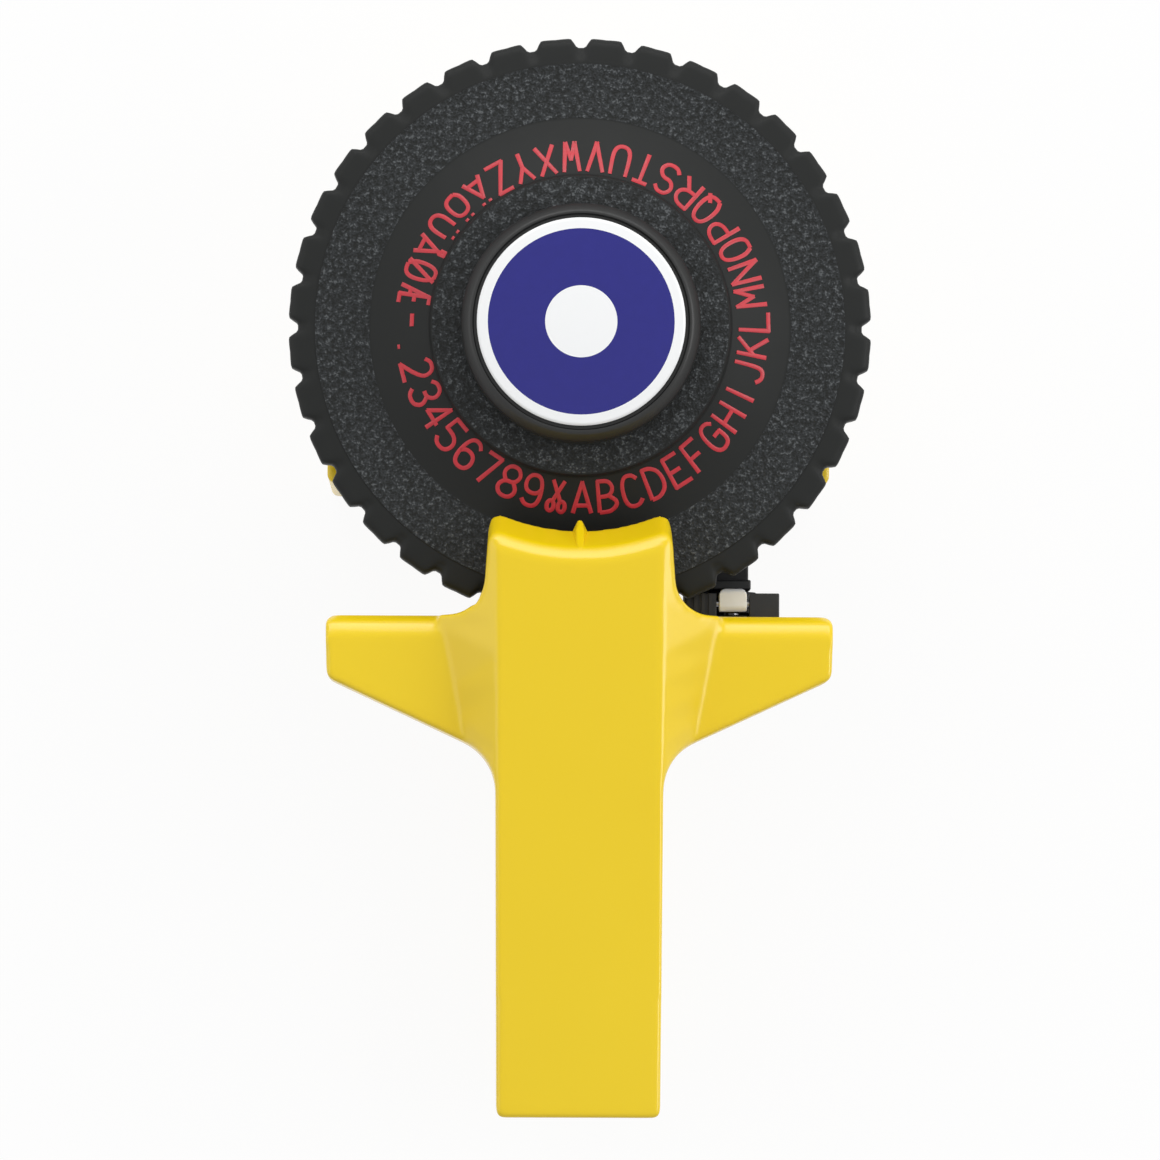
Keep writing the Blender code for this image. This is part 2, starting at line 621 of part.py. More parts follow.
for name, low, high in (("upper_die_ring", UPPER_RING_LOW, UPPER_RING_HIGH),
                        ("lower_die_ring", LOWER_RING_LOW, LOWER_RING_HIGH)):
    die_ring = ring(name, RING_BORE, RING_RADIUS, low, high, DARK, steps=ROUND_STEPS)
    cut(die_ring, round_the_dial(name + "_slots", CHARACTERS, HALF_PITCH - math.pi / 2,
                                 (RING_RADIUS - FINGER_LENGTH, -FINGER_SLOT_HALF, low - OVERRUN),
                                 (RING_RADIUS + OVERRUN, FINGER_SLOT_HALF, high + OVERRUN)))
cut(bpy.data.objects["lower_die_ring"],
    round_the_dial("detent_grooves", CHARACTERS, math.pi / 2,
                   (DETENT_Y - GROOVE_HALF_LENGTH, -GROOVE_HALF_WIDTH, LOWER_RING_LOW - OVERRUN),
                   (DETENT_Y + GROOVE_HALF_LENGTH, GROOVE_HALF_WIDTH, LOWER_RING_LOW + GROOVE_DEPTH)))
die_spacer = ring("die_spacer", RING_BORE, SPACER_RADIUS, LOWER_RING_HIGH + FIT_GAP,
                  UPPER_RING_LOW - FIT_GAP, BLACK)

# Cutting blade: at the scissors, one place before the first letter
BLADE_HALF_THICKNESS = 0.00025
BLADE_INSET = 0.0004

cut_blade = block("cut_blade",
                  (RING_RADIUS - FINGER_LENGTH + BLADE_INSET, -BLADE_HALF_THICKNESS,
                   LOWER_RING_HIGH + FIT_GAP),
                  (RING_RADIUS - BLADE_INSET, BLADE_HALF_THICKNESS, UPPER_RING_LOW - FIT_GAP), STEEL)
cut_blade.data.transform(Matrix.Rotation(-math.pi / 2 - math.tau / CHARACTERS, 4, "Z"))

# Hub cap and badge
HUB_RADIUS = 0.0153
HUB_TAPER = 0.0010
HUB_EDGE_DROP = 0.0016
HUB_SKIRT_DEPTH = 0.0026
HUB_CROWN = 0.0020
HUB_STEPS = 48
BADGE_BORDER = 0.0008
BADGE_THICKNESS = 0.0004
BADGE_PROUD = 0.0002
HUB_TOP_RADIUS = HUB_RADIUS - HUB_TAPER
BADGE_RADIUS = HUB_TOP_RADIUS - BADGE_BORDER

badge_low = HUB_TOP + BADGE_PROUD - BADGE_THICKNESS
badge_floor = badge_low - FIT_GAP
hub_cap = turned("hub_cap", [
    (0, badge_floor), (BADGE_RADIUS + FIT_GAP, badge_floor), (BADGE_RADIUS + FIT_GAP, HUB_TOP),
    (HUB_TOP_RADIUS, HUB_TOP), (HUB_RADIUS, HUB_TOP - HUB_EDGE_DROP), (HUB_RADIUS, HUB_LOW),
    (RECESS_RADIUS - FIT_GAP, HUB_LOW), (RECESS_RADIUS - FIT_GAP, HUB_LOW - HUB_SKIRT_DEPTH),
    (HUB_SKIRT_INNER, HUB_LOW - HUB_SKIRT_DEPTH), (HUB_SKIRT_INNER, HUB_TOP - HUB_CROWN),
    (0, HUB_TOP - HUB_CROWN)], BLACK, steps=HUB_STEPS)
hub_badge = drum("hub_badge", (0, 0, badge_low), (0, 0, badge_low + BADGE_THICKNESS), BADGE_RADIUS, WHITE,
                 steps=ROUND_STEPS)

# Anvil: takes the squeeze under the lower ring
ANVIL_HALF_WIDTH = 0.0045
ANVIL_MARGIN = 0.0007
ANVIL_FRONT = FINGER_LENGTH - RING_RADIUS
ANVIL_REAR = -RING_RADIUS - ANVIL_MARGIN
ANVIL_STEM_RADIUS = 0.0018
ANVIL_STEM_DEPTH = 0.0012
anvil_y = (ANVIL_FRONT + ANVIL_REAR) / 2

anvil = block("anvil", (-ANVIL_HALF_WIDTH, ANVIL_REAR, BODY_TOP + FIT_GAP),
              (ANVIL_HALF_WIDTH, ANVIL_FRONT, LOWER_RING_LOW - FIT_GAP), STEEL)
add(anvil, drum("anvil_stem", (0, anvil_y, BODY_TOP - ANVIL_STEM_DEPTH), (0, anvil_y, DECK_LOW + FIT_GAP),
                ANVIL_STEM_RADIUS))
cut(lower_body, drum("anvil_hole", (0, anvil_y, BODY_TOP - WALL - OVERRUN),
                     (0, anvil_y, BODY_TOP + OVERRUN), ANVIL_STEM_RADIUS + FIT_GAP))

# Upper lever: one thin-walled moulding with nose, ramps, wings and grip
NOSE_WIDENING = 0.0007
NOSE_REAR_WIDENING = 0.0017
NOSE_SLOPE = 0.0030
NOSE_START_SETBACK = 0.0048
WING_TIP_TAPER = 0.0011
WING_TIP_CHORD = 0.0087
WING_ROOT_CHORD = 0.0181
WING_CORNER = 0.0010
NOSE_FILLET = 0.0045
GRIP_FILLET = 0.0070
GRIP_CORNER = 0.0009
GRIP_TAPER = 0.0003
SKIRT_SLOPE_BEHIND = 0.0047
SKIRT_SLOPE_AHEAD = 0.0023
RAMP_WIDTH = 0.0072
RAMP_INSET = 0.0002
RAMP_CREASE = 0.0008
DIAL_CLEARANCE = 0.0008
CEILING = LEVER_TOP - WALL
NOSE_HALF_WIDTH = HANDLE_HALF_WIDTH + NOSE_WIDENING
NOSE_REAR_HALF_WIDTH = HANDLE_HALF_WIDTH + NOSE_REAR_WIDENING
NOSE_START = NOSE_START_SETBACK - NOSE_RADIUS
WING_REAR_HALF_SPAN = BODY_HALF_WIDTH - WING_TIP_TAPER
WING_TIP_REAR = WING_FRONT - WING_TIP_CHORD
WING_ROOT_REAR = WING_FRONT - WING_ROOT_CHORD
GRIP_REAR_HALF_WIDTH = HANDLE_HALF_WIDTH - GRIP_TAPER
GRIP_SKIRT_START = WING_ROOT_REAR - SKIRT_SLOPE_BEHIND
WING_SKIRT_END = WING_ROOT_REAR + SKIRT_SLOPE_AHEAD
RAMP_INNER = HANDLE_HALF_WIDTH - RAMP_INSET
RAMP_OUTER = RAMP_INNER + RAMP_WIDTH


def lever_form(name, inset, finish=None):
    """The lever's outer form, or with an inset the hollow inside it: three outlines, crossed."""
    low = WING_LOW - (OVERRUN if inset > 0 else 0)
    grip_low = GRIP_LOW - (LEVER_TOP if inset > 0 else 0)
    wing_low = WING_LOW - (LEVER_TOP if inset > 0 else 0)
    plan = mirrored([
        (NOSE_HALF_WIDTH, NOSE_START, 0),
        (NOSE_REAR_HALF_WIDTH, WING_FRONT, NOSE_FILLET),
        (BODY_HALF_WIDTH, WING_FRONT, WING_CORNER),
        (WING_REAR_HALF_SPAN, WING_TIP_REAR, WING_CORNER),
        (HANDLE_HALF_WIDTH, WING_ROOT_REAR, GRIP_FILLET),
        (GRIP_REAR_HALF_WIDTH, HANDLE_END, GRIP_CORNER),
    ])
    side = rounded([
        (NOSE_START + OVERRUN, wing_low, 0),
        (NOSE_START + OVERRUN, LEVER_TOP - inset, 0),
        (HANDLE_END - OVERRUN, LEVER_TOP - inset, 0),
        (HANDLE_END - OVERRUN, grip_low, 0),
        (GRIP_SKIRT_START, grip_low, 0),
        (WING_SKIRT_END, wing_low, 0),
    ])
    wide = BODY_HALF_WIDTH + OVERRUN
    front = rounded([
        (-wide, 0, 0), (wide, 0, 0), (wide, WING_TOP - inset, 0),
        (RAMP_OUTER, WING_TOP - inset, RAMP_CREASE),
        (RAMP_INNER - inset / 2, LEVER_TOP - inset, RAMP_CREASE),
        (inset / 2 - RAMP_INNER, LEVER_TOP - inset, RAMP_CREASE),
        (-RAMP_OUTER, WING_TOP - inset, RAMP_CREASE), (-wide, WING_TOP - inset, 0),
    ])
    made = slab(name, [rounded(plan, inset)], low, LEVER_TOP + OVERRUN, finish)
    combine(made, slab(name + "_side", [side], -wide, wide, plane="YZ"), "INTERSECT")
    combine(made, slab(name + "_front", [front], HANDLE_END - OVERRUN, NOSE_START + OVERRUN, plane="XZ"),
            "INTERSECT")
    slope = NOSE_SLOPE / NOSE_HEIGHT
    low_radius = NOSE_RADIUS + inset - slope * OVERRUN
    high_radius = NOSE_RADIUS + inset + NOSE_SLOPE + slope * OVERRUN
    cut(made, drum(name + "_nose", (0, 0, NOSE_LOW - OVERRUN), (0, 0, LEVER_TOP + OVERRUN), low_radius,
                   end_radius=high_radius, steps=ROUND_STEPS))
    return made


upper_lever = lever_form("upper_lever", 0, YELLOW)
cut(upper_lever, drum("dial_clearance", (0, 0, 0), (0, 0, NOSE_LOW), DIAL_RADIUS + DIAL_CLEARANCE,
                      steps=ROUND_STEPS))

# Pointer rib on the nose, over the character in use
NIB_HALF_WIDTH = 0.0005
NIB_REACH = 0.0015
NIB_DEPTH = 0.0007
NIB_LIFT = 0.0003
NIB_FRONT_HEIGHT = 0.0007
NIB_RISE = 0.0017
NIB_BELOW_TOP = 0.0013
NIB_FRONT = NIB_REACH - NOSE_RADIUS
NIB_RISE_END = -NOSE_RADIUS - NIB_RISE
NIB_BACK = -NOSE_RADIUS - NOSE_SLOPE - NIB_DEPTH
NIB_LOW = NOSE_LOW + NIB_LIFT
NIB_TOP = LEVER_TOP - NIB_BELOW_TOP

nib_side = [(NIB_BACK, NIB_LOW), (NIB_FRONT, NIB_LOW), (NIB_FRONT, NIB_LOW + NIB_FRONT_HEIGHT),
            (NIB_RISE_END, NIB_TOP), (NIB_BACK, NIB_TOP)]
add(upper_lever, slab("nib", [nib_side], -NIB_HALF_WIDTH, NIB_HALF_WIDTH, plane="YZ"))
cut(upper_lever, lever_form("lever_hollow", WALL))

# Bosses under the lever's top, for the yoke's screws and the return spring
YOKE_BELOW_TOP = 0.0060
YOKE_PLATE = 0.0015
YOKE_SCREW_INSET = 0.0025
YOKE_BOSS_RADIUS = 0.0026
YOKE_SHANK_RADIUS = 0.0010
YOKE_HEAD_RADIUS = 0.0022
YOKE_HEAD_HEIGHT = 0.0015
YOKE_SHANK_LENGTH = 0.0055
YOKE_TOP = LEVER_TOP - YOKE_BELOW_TOP
YOKE_SCREW_X = ARM_INNER - YOKE_SCREW_INSET
YOKE_SCREW_Y = (YOKE_FRONT + YOKE_REAR) / 2
YOKE_SCREW_SPOTS = [(-YOKE_SCREW_X, YOKE_SCREW_Y), (YOKE_SCREW_X, YOKE_SCREW_Y)]
YOKE_PLATE_LOW = YOKE_TOP - YOKE_PLATE

for x, y in YOKE_SCREW_SPOTS:
    add(upper_lever, drum("yoke_boss", (x, y, YOKE_TOP + FIT_GAP), (x, y, CEILING + WALL / 2),
                          YOKE_BOSS_RADIUS))
    cut(upper_lever, drum("yoke_boss_bore", (x, y, YOKE_TOP - OVERRUN), (x, y, CEILING),
                          YOKE_SHANK_RADIUS + FIT_GAP))
add(upper_lever, drum("lever_spring_seat", (0, SPRING_Y, CEILING - SPRING_SEAT_HEIGHT),
                      (0, SPRING_Y, CEILING + WALL / 2), SPRING_SEAT_RADIUS))

# Feed train's places behind the rings, from the cheek at the rings' edge to the pawl at the rear
AXLE_RADIUS = 0.0010
ROLLER_RADIUS = 0.0032
ROLLER_LENGTH = 0.0027
ROLLER_DROP = 0.0001
CHEEK_THICKNESS = 0.0013
CHEEK_HALF_WIDTH = 0.0025
GUIDE_WALL = 0.0009
RATCHET_LENGTH = 0.0013
PAWL_LENGTH = 0.0013
AXLE_OVERHANG = 0.0004
AXLE_SETBACK = 0.0002
PAWL_TAIL_TOP = 0.0010
RING_ROOM = RING_RADIUS + RUNNING_GAP


def ring_edge(x):
    """How far back the rings' edge, with its running gap, reaches at x."""
    return -math.sqrt(max(RING_ROOM ** 2 - x ** 2, 0))


FEED_Z = LOWER_RING_HIGH - ROLLER_DROP - ROLLER_RADIUS
CHEEK_FRONT = ring_edge(FEED_X - CHEEK_HALF_WIDTH)
AXLE_FRONT = CHEEK_FRONT - AXLE_SETBACK
ROLLER_FRONT = CHEEK_FRONT - CHEEK_THICKNESS - FIT_GAP
ROLLER_REAR = ROLLER_FRONT - ROLLER_LENGTH
GUIDE_WALL_FRONT = ROLLER_REAR - FIT_GAP
GUIDE_WALL_REAR = GUIDE_WALL_FRONT - GUIDE_WALL
RATCHET_FRONT = GUIDE_WALL_REAR - FIT_GAP
RATCHET_REAR = RATCHET_FRONT - RATCHET_LENGTH
PAWL_FRONT = RATCHET_REAR - FIT_GAP
PAWL_REAR = PAWL_FRONT - PAWL_LENGTH
AXLE_REAR = PAWL_REAR - AXLE_OVERHANG

# Yoke: two arms from the lever's pin round the dies, joined by a plate under the lever
ARM_REAR_CORNER = 0.0030
YOKE_FILLET = 0.0015
ARM_ROUND_SHARE = 0.49
ARM_END = PIVOT_Y + ARM_HEIGHT / 2
ARM_ROUND = ARM_HEIGHT * ARM_ROUND_SHARE
ARM_TOP = ARM_LOW + ARM_HEIGHT

# The peg on the right arm, which pushes the pawl's tail
PEG_WIDTH = 0.0026
PEG_MARGIN = 0.0006
PEG_HEIGHT = 0.0018
PEG_OVER_TAIL = 0.0006
PEG_LOW = FEED_Z + PAWL_TAIL_TOP + PEG_OVER_TAIL
PEG_REAR = PAWL_REAR - PEG_MARGIN
PEG_FRONT = PAWL_FRONT

arm_outline = rounded([
    (ARM_END, ARM_LOW, ARM_ROUND), (ARM_END, ARM_TOP, ARM_ROUND), (YOKE_FRONT, ARM_TOP, YOKE_FILLET),
    (YOKE_FRONT, YOKE_TOP, 0), (YOKE_REAR, YOKE_TOP, 0), (YOKE_REAR, ARM_LOW, ARM_REAR_CORNER)])
pin_bore = circle(PIN_RADIUS + FIT_GAP, (PIVOT_Y, PIVOT_Z))[::-1]
lever_yoke = slab("lever_yoke", [arm_outline, pin_bore], ARM_INNER, ARM_OUTER, STEEL, plane="YZ")
add(lever_yoke, slab("left_arm", [arm_outline, pin_bore], -ARM_OUTER, -ARM_INNER, plane="YZ"))
arm_middle = (ARM_INNER + ARM_OUTER) / 2
yoke_plate = block("yoke_plate", (-arm_middle, YOKE_REAR + FIT_GAP, YOKE_PLATE_LOW),
                   (arm_middle, YOKE_FRONT - FIT_GAP, YOKE_TOP - FIT_GAP))
for x, y in YOKE_SCREW_SPOTS:
    cut(yoke_plate, drum("yoke_hole", (x, y, YOKE_PLATE_LOW - OVERRUN), (x, y, YOKE_TOP + OVERRUN),
                         YOKE_SHANK_RADIUS + FIT_GAP))
add(lever_yoke, yoke_plate)
add(lever_yoke, block("pawl_peg", (arm_middle, PEG_REAR, PEG_LOW),
                      (ARM_OUTER + PEG_WIDTH, PEG_FRONT, PEG_LOW + PEG_HEIGHT)))
yoke_screws = screws("yoke_screw", YOKE_SCREW_SPOTS, STEEL, YOKE_PLATE_LOW - FIT_GAP - YOKE_HEAD_HEIGHT,
                     YOKE_HEAD_RADIUS, YOKE_HEAD_HEIGHT, YOKE_SHANK_RADIUS, YOKE_SHANK_LENGTH, upwards=True)

# Press pad: comes down on the dial over the character in use
PAD_CLEARANCE = 0.0040
PAD_THICKNESS = 0.0012
PAD_HALF_WIDTH = 0.0036
PAD_ROOM = 0.0007
PAD_REAR_INSET = 0.0008
PAD_STEM_SETBACK = 0.0004
PAD_FRONT = -NOSE_RADIUS - WALL - PAD_ROOM
PAD_REAR = PAD_REAR_INSET - RING_RADIUS
PAD_STEM_FRONT = -NOSE_RADIUS - NOSE_SLOPE - WALL
PAD_LOW = DIAL_FACE + PAD_CLEARANCE

press_pad = block("press_pad", (-PAD_HALF_WIDTH, PAD_REAR, PAD_LOW),
                  (PAD_HALF_WIDTH, PAD_FRONT, PAD_LOW + PAD_THICKNESS), BLACK)
add(press_pad, block("pad_stem",
                     (PAD_STEM_SETBACK - PAD_HALF_WIDTH, PAD_REAR + PAD_STEM_SETBACK,
                      PAD_LOW + PAD_THICKNESS / 2),
                     (PAD_HALF_WIDTH - PAD_STEM_SETBACK, PAD_STEM_FRONT, CEILING - FIT_GAP)))

# Lever pin and the clips on its ends
CLIP_THICKNESS = 0.0006
CLIP_RADIUS = 0.0030
PIN_END = LUG_OUTER + FIT_GAP + CLIP_THICKNESS + FIT_GAP

lever_pin = drum("lever_pin", (-PIN_END, PIVOT_Y, PIVOT_Z), (PIN_END, PIVOT_Y, PIVOT_Z), PIN_RADIUS, STEEL)
for side, name in ((-1, "left_pin_clip"), (1, "right_pin_clip")):
    clip_inner = LUG_OUTER + FIT_GAP
    low_x, high_x = sorted((side * clip_inner, side * (clip_inner + CLIP_THICKNESS)))
    slab(name, [circle(CLIP_RADIUS, (PIVOT_Y, PIVOT_Z)), pin_bore], low_x, high_x, SPRING, plane="YZ")

# Return spring: pushes the grips apart
SPRING_CURLS = 8
CURL_POINTS = 9
SPRING_END_SHARE = 0.55
spring_low = LOWER_GRIP_TOP + FIT_GAP + SPRING_WIRE
spring_high = CEILING - FIT_GAP - SPRING_WIRE


def spring_points():
    """A helix whose curls draw closer at both ends."""
    last = SPRING_CURLS * CURL_POINTS
    points = []
    for index in range(last + 1):
        along = index / last
        rise = along - SPRING_END_SHARE * math.sin(math.tau * along) / math.tau
        angle = math.tau * index / CURL_POINTS
        points.append(Vector((SPRING_RADIUS * math.cos(angle), SPRING_Y + SPRING_RADIUS * math.sin(angle),
                              spring_low + (spring_high - spring_low) * rise)))
    return points


coil = spring_points()
spring_curve = bpy.data.curves.new("return_spring", "CURVE")
spring_curve.dimensions = "3D"
spring_curve.bevel_depth = SPRING_WIRE
spring_curve.bevel_resolution = 1
spring_curve.use_fill_caps = True
spring_spline = spring_curve.splines.new("POLY")
spring_spline.points.add(len(coil) - 1)
for point, spot in zip(spring_spline.points, coil):
    point.co = (*spot, 1)
spring_drawn = bpy.data.objects.new("return_spring", spring_curve)
PARTS.objects.link(spring_drawn)
return_spring = place(mesh_of(spring_drawn), "return_spring", SPRING)
apart = [(coil[a] - coil[b]).length
         for a in range(len(coil)) for b in range(a + CURL_POINTS // 2, len(coil))]
print("return_spring: least gap to itself %.2f mm" % ((min(apart) - 2 * SPRING_WIRE) * 1000))

# Feed bracket: carries the roller and the tape guide behind the housing
CHEEK_OVER_AXLE = 0.0018
BRACKET_HALF_WIDTH = 0.0050
BRACKET_FLANGE_HALF = 0.0070
BRACKET_FLANGE_HEIGHT = 0.0112
BRACKET_THICKNESS = 0.0015
BRACKET_NECK_RIGHT = 0.0024
BRACKET_UNDER_AXLE = 0.0046
BRACKET_SCREW_X = 0.0045
BRACKET_SCREW_UP = 0.0035
BRACKET_SCREW_LENGTH = 0.0055
BRACKET_FLANGE_TOP = BODY_TOP - RUNNING_GAP
BRACKET_FLANGE_LOW = BRACKET_FLANGE_TOP - BRACKET_FLANGE_HEIGHT
BRACKET_SCREW_Z = BRACKET_FLANGE_LOW + BRACKET_SCREW_UP
BRACKET_BASE_TOP = FEED_Z - BRACKET_UNDER_AXLE
BRACKET_REAR = GUIDE_WALL_REAR
FLANGE_FRONT = HOUSING_REAR - FIT_GAP
FLANGE_REAR = FLANGE_FRONT - BRACKET_THICKNESS
BRACKET_SPOTS = [(FEED_X + side * BRACKET_SCREW_X, BRACKET_SCREW_Z) for side in (-1, 1)]

feed_bracket = block("feed_bracket",
                     (FEED_X - BRACKET_HALF_WIDTH, BRACKET_REAR, BRACKET_BASE_TOP - BRACKET_THICKNESS),
                     (FEED_X + BRACKET_HALF_WIDTH, FLANGE_FRONT - BRACKET_THICKNESS / 2,
                      BRACKET_BASE_TOP), BLACK)
add(feed_bracket, block("bracket_flange", (FEED_X - BRACKET_FLANGE_HALF, FLANGE_REAR, BRACKET_FLANGE_LOW),
                        (FEED_X + BRACKET_FLANGE_HALF, FLANGE_FRONT, BRACKET_FLANGE_TOP)))
cheek_low = BRACKET_BASE_TOP - BRACKET_THICKNESS / 2
add(feed_bracket, block("bracket_cheek",
                        (FEED_X - CHEEK_HALF_WIDTH, CHEEK_FRONT - CHEEK_THICKNESS, cheek_low),
                        (FEED_X + CHEEK_HALF_WIDTH, CHEEK_FRONT, FEED_Z + CHEEK_OVER_AXLE)))
cut(feed_bracket, drum("axle_bore", (FEED_X, BRACKET_REAR, FEED_Z), (FEED_X, CHEEK_FRONT + OVERRUN, FEED_Z),
                       AXLE_RADIUS + FIT_GAP))
for x, z in BRACKET_SPOTS:
    cut(feed_bracket, drum("flange_hole", (x, FLANGE_REAR - OVERRUN, z), (x, FLANGE_FRONT + OVERRUN, z),
                           DECK_SHANK_RADIUS + FIT_GAP))
    cut(lower_body, drum("wall_hole", (x, HOUSING_REAR - OVERRUN, z), (x, HOUSING_REAR + WALL + OVERRUN, z),
                         DECK_SHANK_RADIUS + FIT_GAP))
bracket_screws = screws("bracket_screw", BRACKET_SPOTS, STEEL, FIT_GAP + DECK_HEAD_HEIGHT - FLANGE_REAR,
                        DECK_HEAD_RADIUS, DECK_HEAD_HEIGHT, DECK_SHANK_RADIUS, BRACKET_SCREW_LENGTH)
for bracket_screw in bracket_screws:
    bracket_screw.data.transform(Matrix.Rotation(math.pi / 2, 4, "X"))

# Tape guide: rear wall, floor and two bars over the tape's edge, with room between them for the tab
GUIDE_LEFT_REACH = 0.0063
GUIDE_RIGHT_REACH = 0.0060
GUIDE_BAR_DEPTH = 0.0026
GUIDE_BAR_LIFT = 0.0001
GUIDE_BAR_HEIGHT = 0.0020
GUIDE_FLOOR_DROP = 0.0005
GUIDE_FLOOR_THICKNESS = 0.0014
GUIDE_FLOOR_SIDE = 0.0026
TAB_HALF_WIDTH = 0.0018
GUIDE_FOOT_HEIGHT = 0.0013
GUIDE_FOOT_INNER = 0.0024
GUIDE_SCREW_X = 0.0041
GUIDE_HEAD_RADIUS = 0.0012
GUIDE_HEAD_HEIGHT = 0.0008
GUIDE_SHANK_RADIUS = 0.0006
GUIDE_SHANK_LENGTH = 0.0028
GUIDE_LEFT = FEED_X - GUIDE_LEFT_REACH
GUIDE_RIGHT = FEED_X + GUIDE_RIGHT_REACH
GUIDE_BAR_FRONT = GUIDE_WALL_FRONT + GUIDE_BAR_DEPTH
GUIDE_BAR_LOW = UPPER_RING_LOW + GUIDE_BAR_LIFT
GUIDE_BAR_TOP = GUIDE_BAR_LOW + GUIDE_BAR_HEIGHT
GUIDE_FLOOR_TOP = LOWER_RING_HIGH - GUIDE_FLOOR_DROP
GUIDE_FLOOR_LOW = GUIDE_FLOOR_TOP - GUIDE_FLOOR_THICKNESS
GUIDE_FOOT_FRONT = CHEEK_FRONT - CHEEK_THICKNESS - FIT_GAP
GUIDE_SCREW_Y = (GUIDE_FOOT_FRONT + GUIDE_WALL_FRONT) / 2
guide_low = BRACKET_BASE_TOP + FIT_GAP
tab_room = TAB_HALF_WIDTH + FIT_GAP
inside_wall = (GUIDE_WALL_FRONT + GUIDE_WALL_REAR) / 2

tape_guide = block("tape_guide", (GUIDE_LEFT, GUIDE_WALL_REAR, guide_low),
                   (GUIDE_RIGHT, GUIDE_WALL_FRONT, GUIDE_BAR_TOP), BLACK)
add(tape_guide, block("left_bar", (GUIDE_LEFT, inside_wall, GUIDE_BAR_LOW),
                      (FEED_X - tab_room, GUIDE_BAR_FRONT, GUIDE_BAR_TOP)))
add(tape_guide, block("right_bar", (FEED_X + tab_room, inside_wall, GUIDE_BAR_LOW),
                      (GUIDE_RIGHT, GUIDE_BAR_FRONT, GUIDE_BAR_TOP)))
add(tape_guide, block("left_floor", (GUIDE_LEFT, inside_wall, GUIDE_FLOOR_LOW),
                      (GUIDE_LEFT + GUIDE_FLOOR_SIDE, ring_edge(GUIDE_LEFT), GUIDE_FLOOR_TOP)))
for side in (-1, 1):
    edge = GUIDE_LEFT + WALL / 2 if side < 0 else FEED_X + BRACKET_HALF_WIDTH
    low_x, high_x = sorted((FEED_X + side * GUIDE_FOOT_INNER, edge))
    add(tape_guide, block("guide_foot", (low_x, inside_wall, guide_low),
                          (high_x, GUIDE_FOOT_FRONT, guide_low + GUIDE_FOOT_HEIGHT)))
cut(tape_guide, block("tab_room", (FEED_X - tab_room, GUIDE_WALL_REAR - OVERRUN, GUIDE_FLOOR_TOP),
                      (FEED_X + tab_room, GUIDE_BAR_FRONT + OVERRUN, GUIDE_BAR_TOP + OVERRUN)))
cut(tape_guide, drum("guide_bore", (FEED_X, GUIDE_WALL_REAR - OVERRUN, FEED_Z),
                     (FEED_X, GUIDE_WALL_FRONT + OVERRUN, FEED_Z), AXLE_RADIUS + FIT_GAP))
cut(feed_bracket, block("neck_side", (FEED_X + BRACKET_NECK_RIGHT, GUIDE_FOOT_FRONT,
                                      BRACKET_BASE_TOP - BRACKET_THICKNESS - OVERRUN),
                        (FEED_X + BRACKET_HALF_WIDTH + OVERRUN, FLANGE_REAR, BRACKET_BASE_TOP + OVERRUN)))
GUIDE_SPOTS = [(FEED_X + side * GUIDE_SCREW_X, GUIDE_SCREW_Y) for side in (-1, 1)]
for x, y in GUIDE_SPOTS:
    shaft_room = GUIDE_SHANK_RADIUS + FIT_GAP
    cut(tape_guide, drum("foot_hole", (x, y, guide_low - OVERRUN),
                         (x, y, guide_low + GUIDE_FOOT_HEIGHT + OVERRUN), shaft_room))
    cut(feed_bracket, drum("base_hole", (x, y, BRACKET_BASE_TOP - BRACKET_THICKNESS - OVERRUN),
                           (x, y, BRACKET_BASE_TOP + OVERRUN), shaft_room))
guide_head_top = guide_low + GUIDE_FOOT_HEIGHT + FIT_GAP + GUIDE_HEAD_HEIGHT
guide_screws = screws("guide_screw", GUIDE_SPOTS, STEEL, guide_head_top, GUIDE_HEAD_RADIUS,
                      GUIDE_HEAD_HEIGHT, GUIDE_SHANK_RADIUS, GUIDE_SHANK_LENGTH)

# Room in the lever's fillet for the guide's end, which the lever comes down beside
cut(upper_lever, block("guide_clearance", (GUIDE_LEFT - FIT_GAP, WING_FRONT, 0),
                       (GUIDE_LEFT + NOSE_FILLET, 0, NOSE_LOW)))

# Pressure tab: a white finger that holds the tape on the roller, on its own pin through the bars
TAB_PIN_RADIUS = 0.0004
SMALL_FIT = 0.0002
TAB_OVER_ROLLER = 0.0007
TAB_PROUD = 0.0003
TAB_AHEAD = 0.0006
TAB_CORNER = 0.0007
TAB_PIN_REACH = 0.0040
TAB_PIN_Y = (GUIDE_BAR_FRONT + GUIDE_WALL_FRONT) / 2
TAB_PIN_Z = (GUIDE_BAR_LOW + GUIDE_BAR_TOP) / 2
TAB_LOW = FEED_Z + ROLLER_RADIUS + TAB_OVER_ROLLER
TAB_TOP = GUIDE_BAR_TOP + TAB_PROUD
TAB_FRONT = GUIDE_BAR_FRONT + TAB_AHEAD
TAB_REAR = GUIDE_WALL_FRONT + FIT_GAP

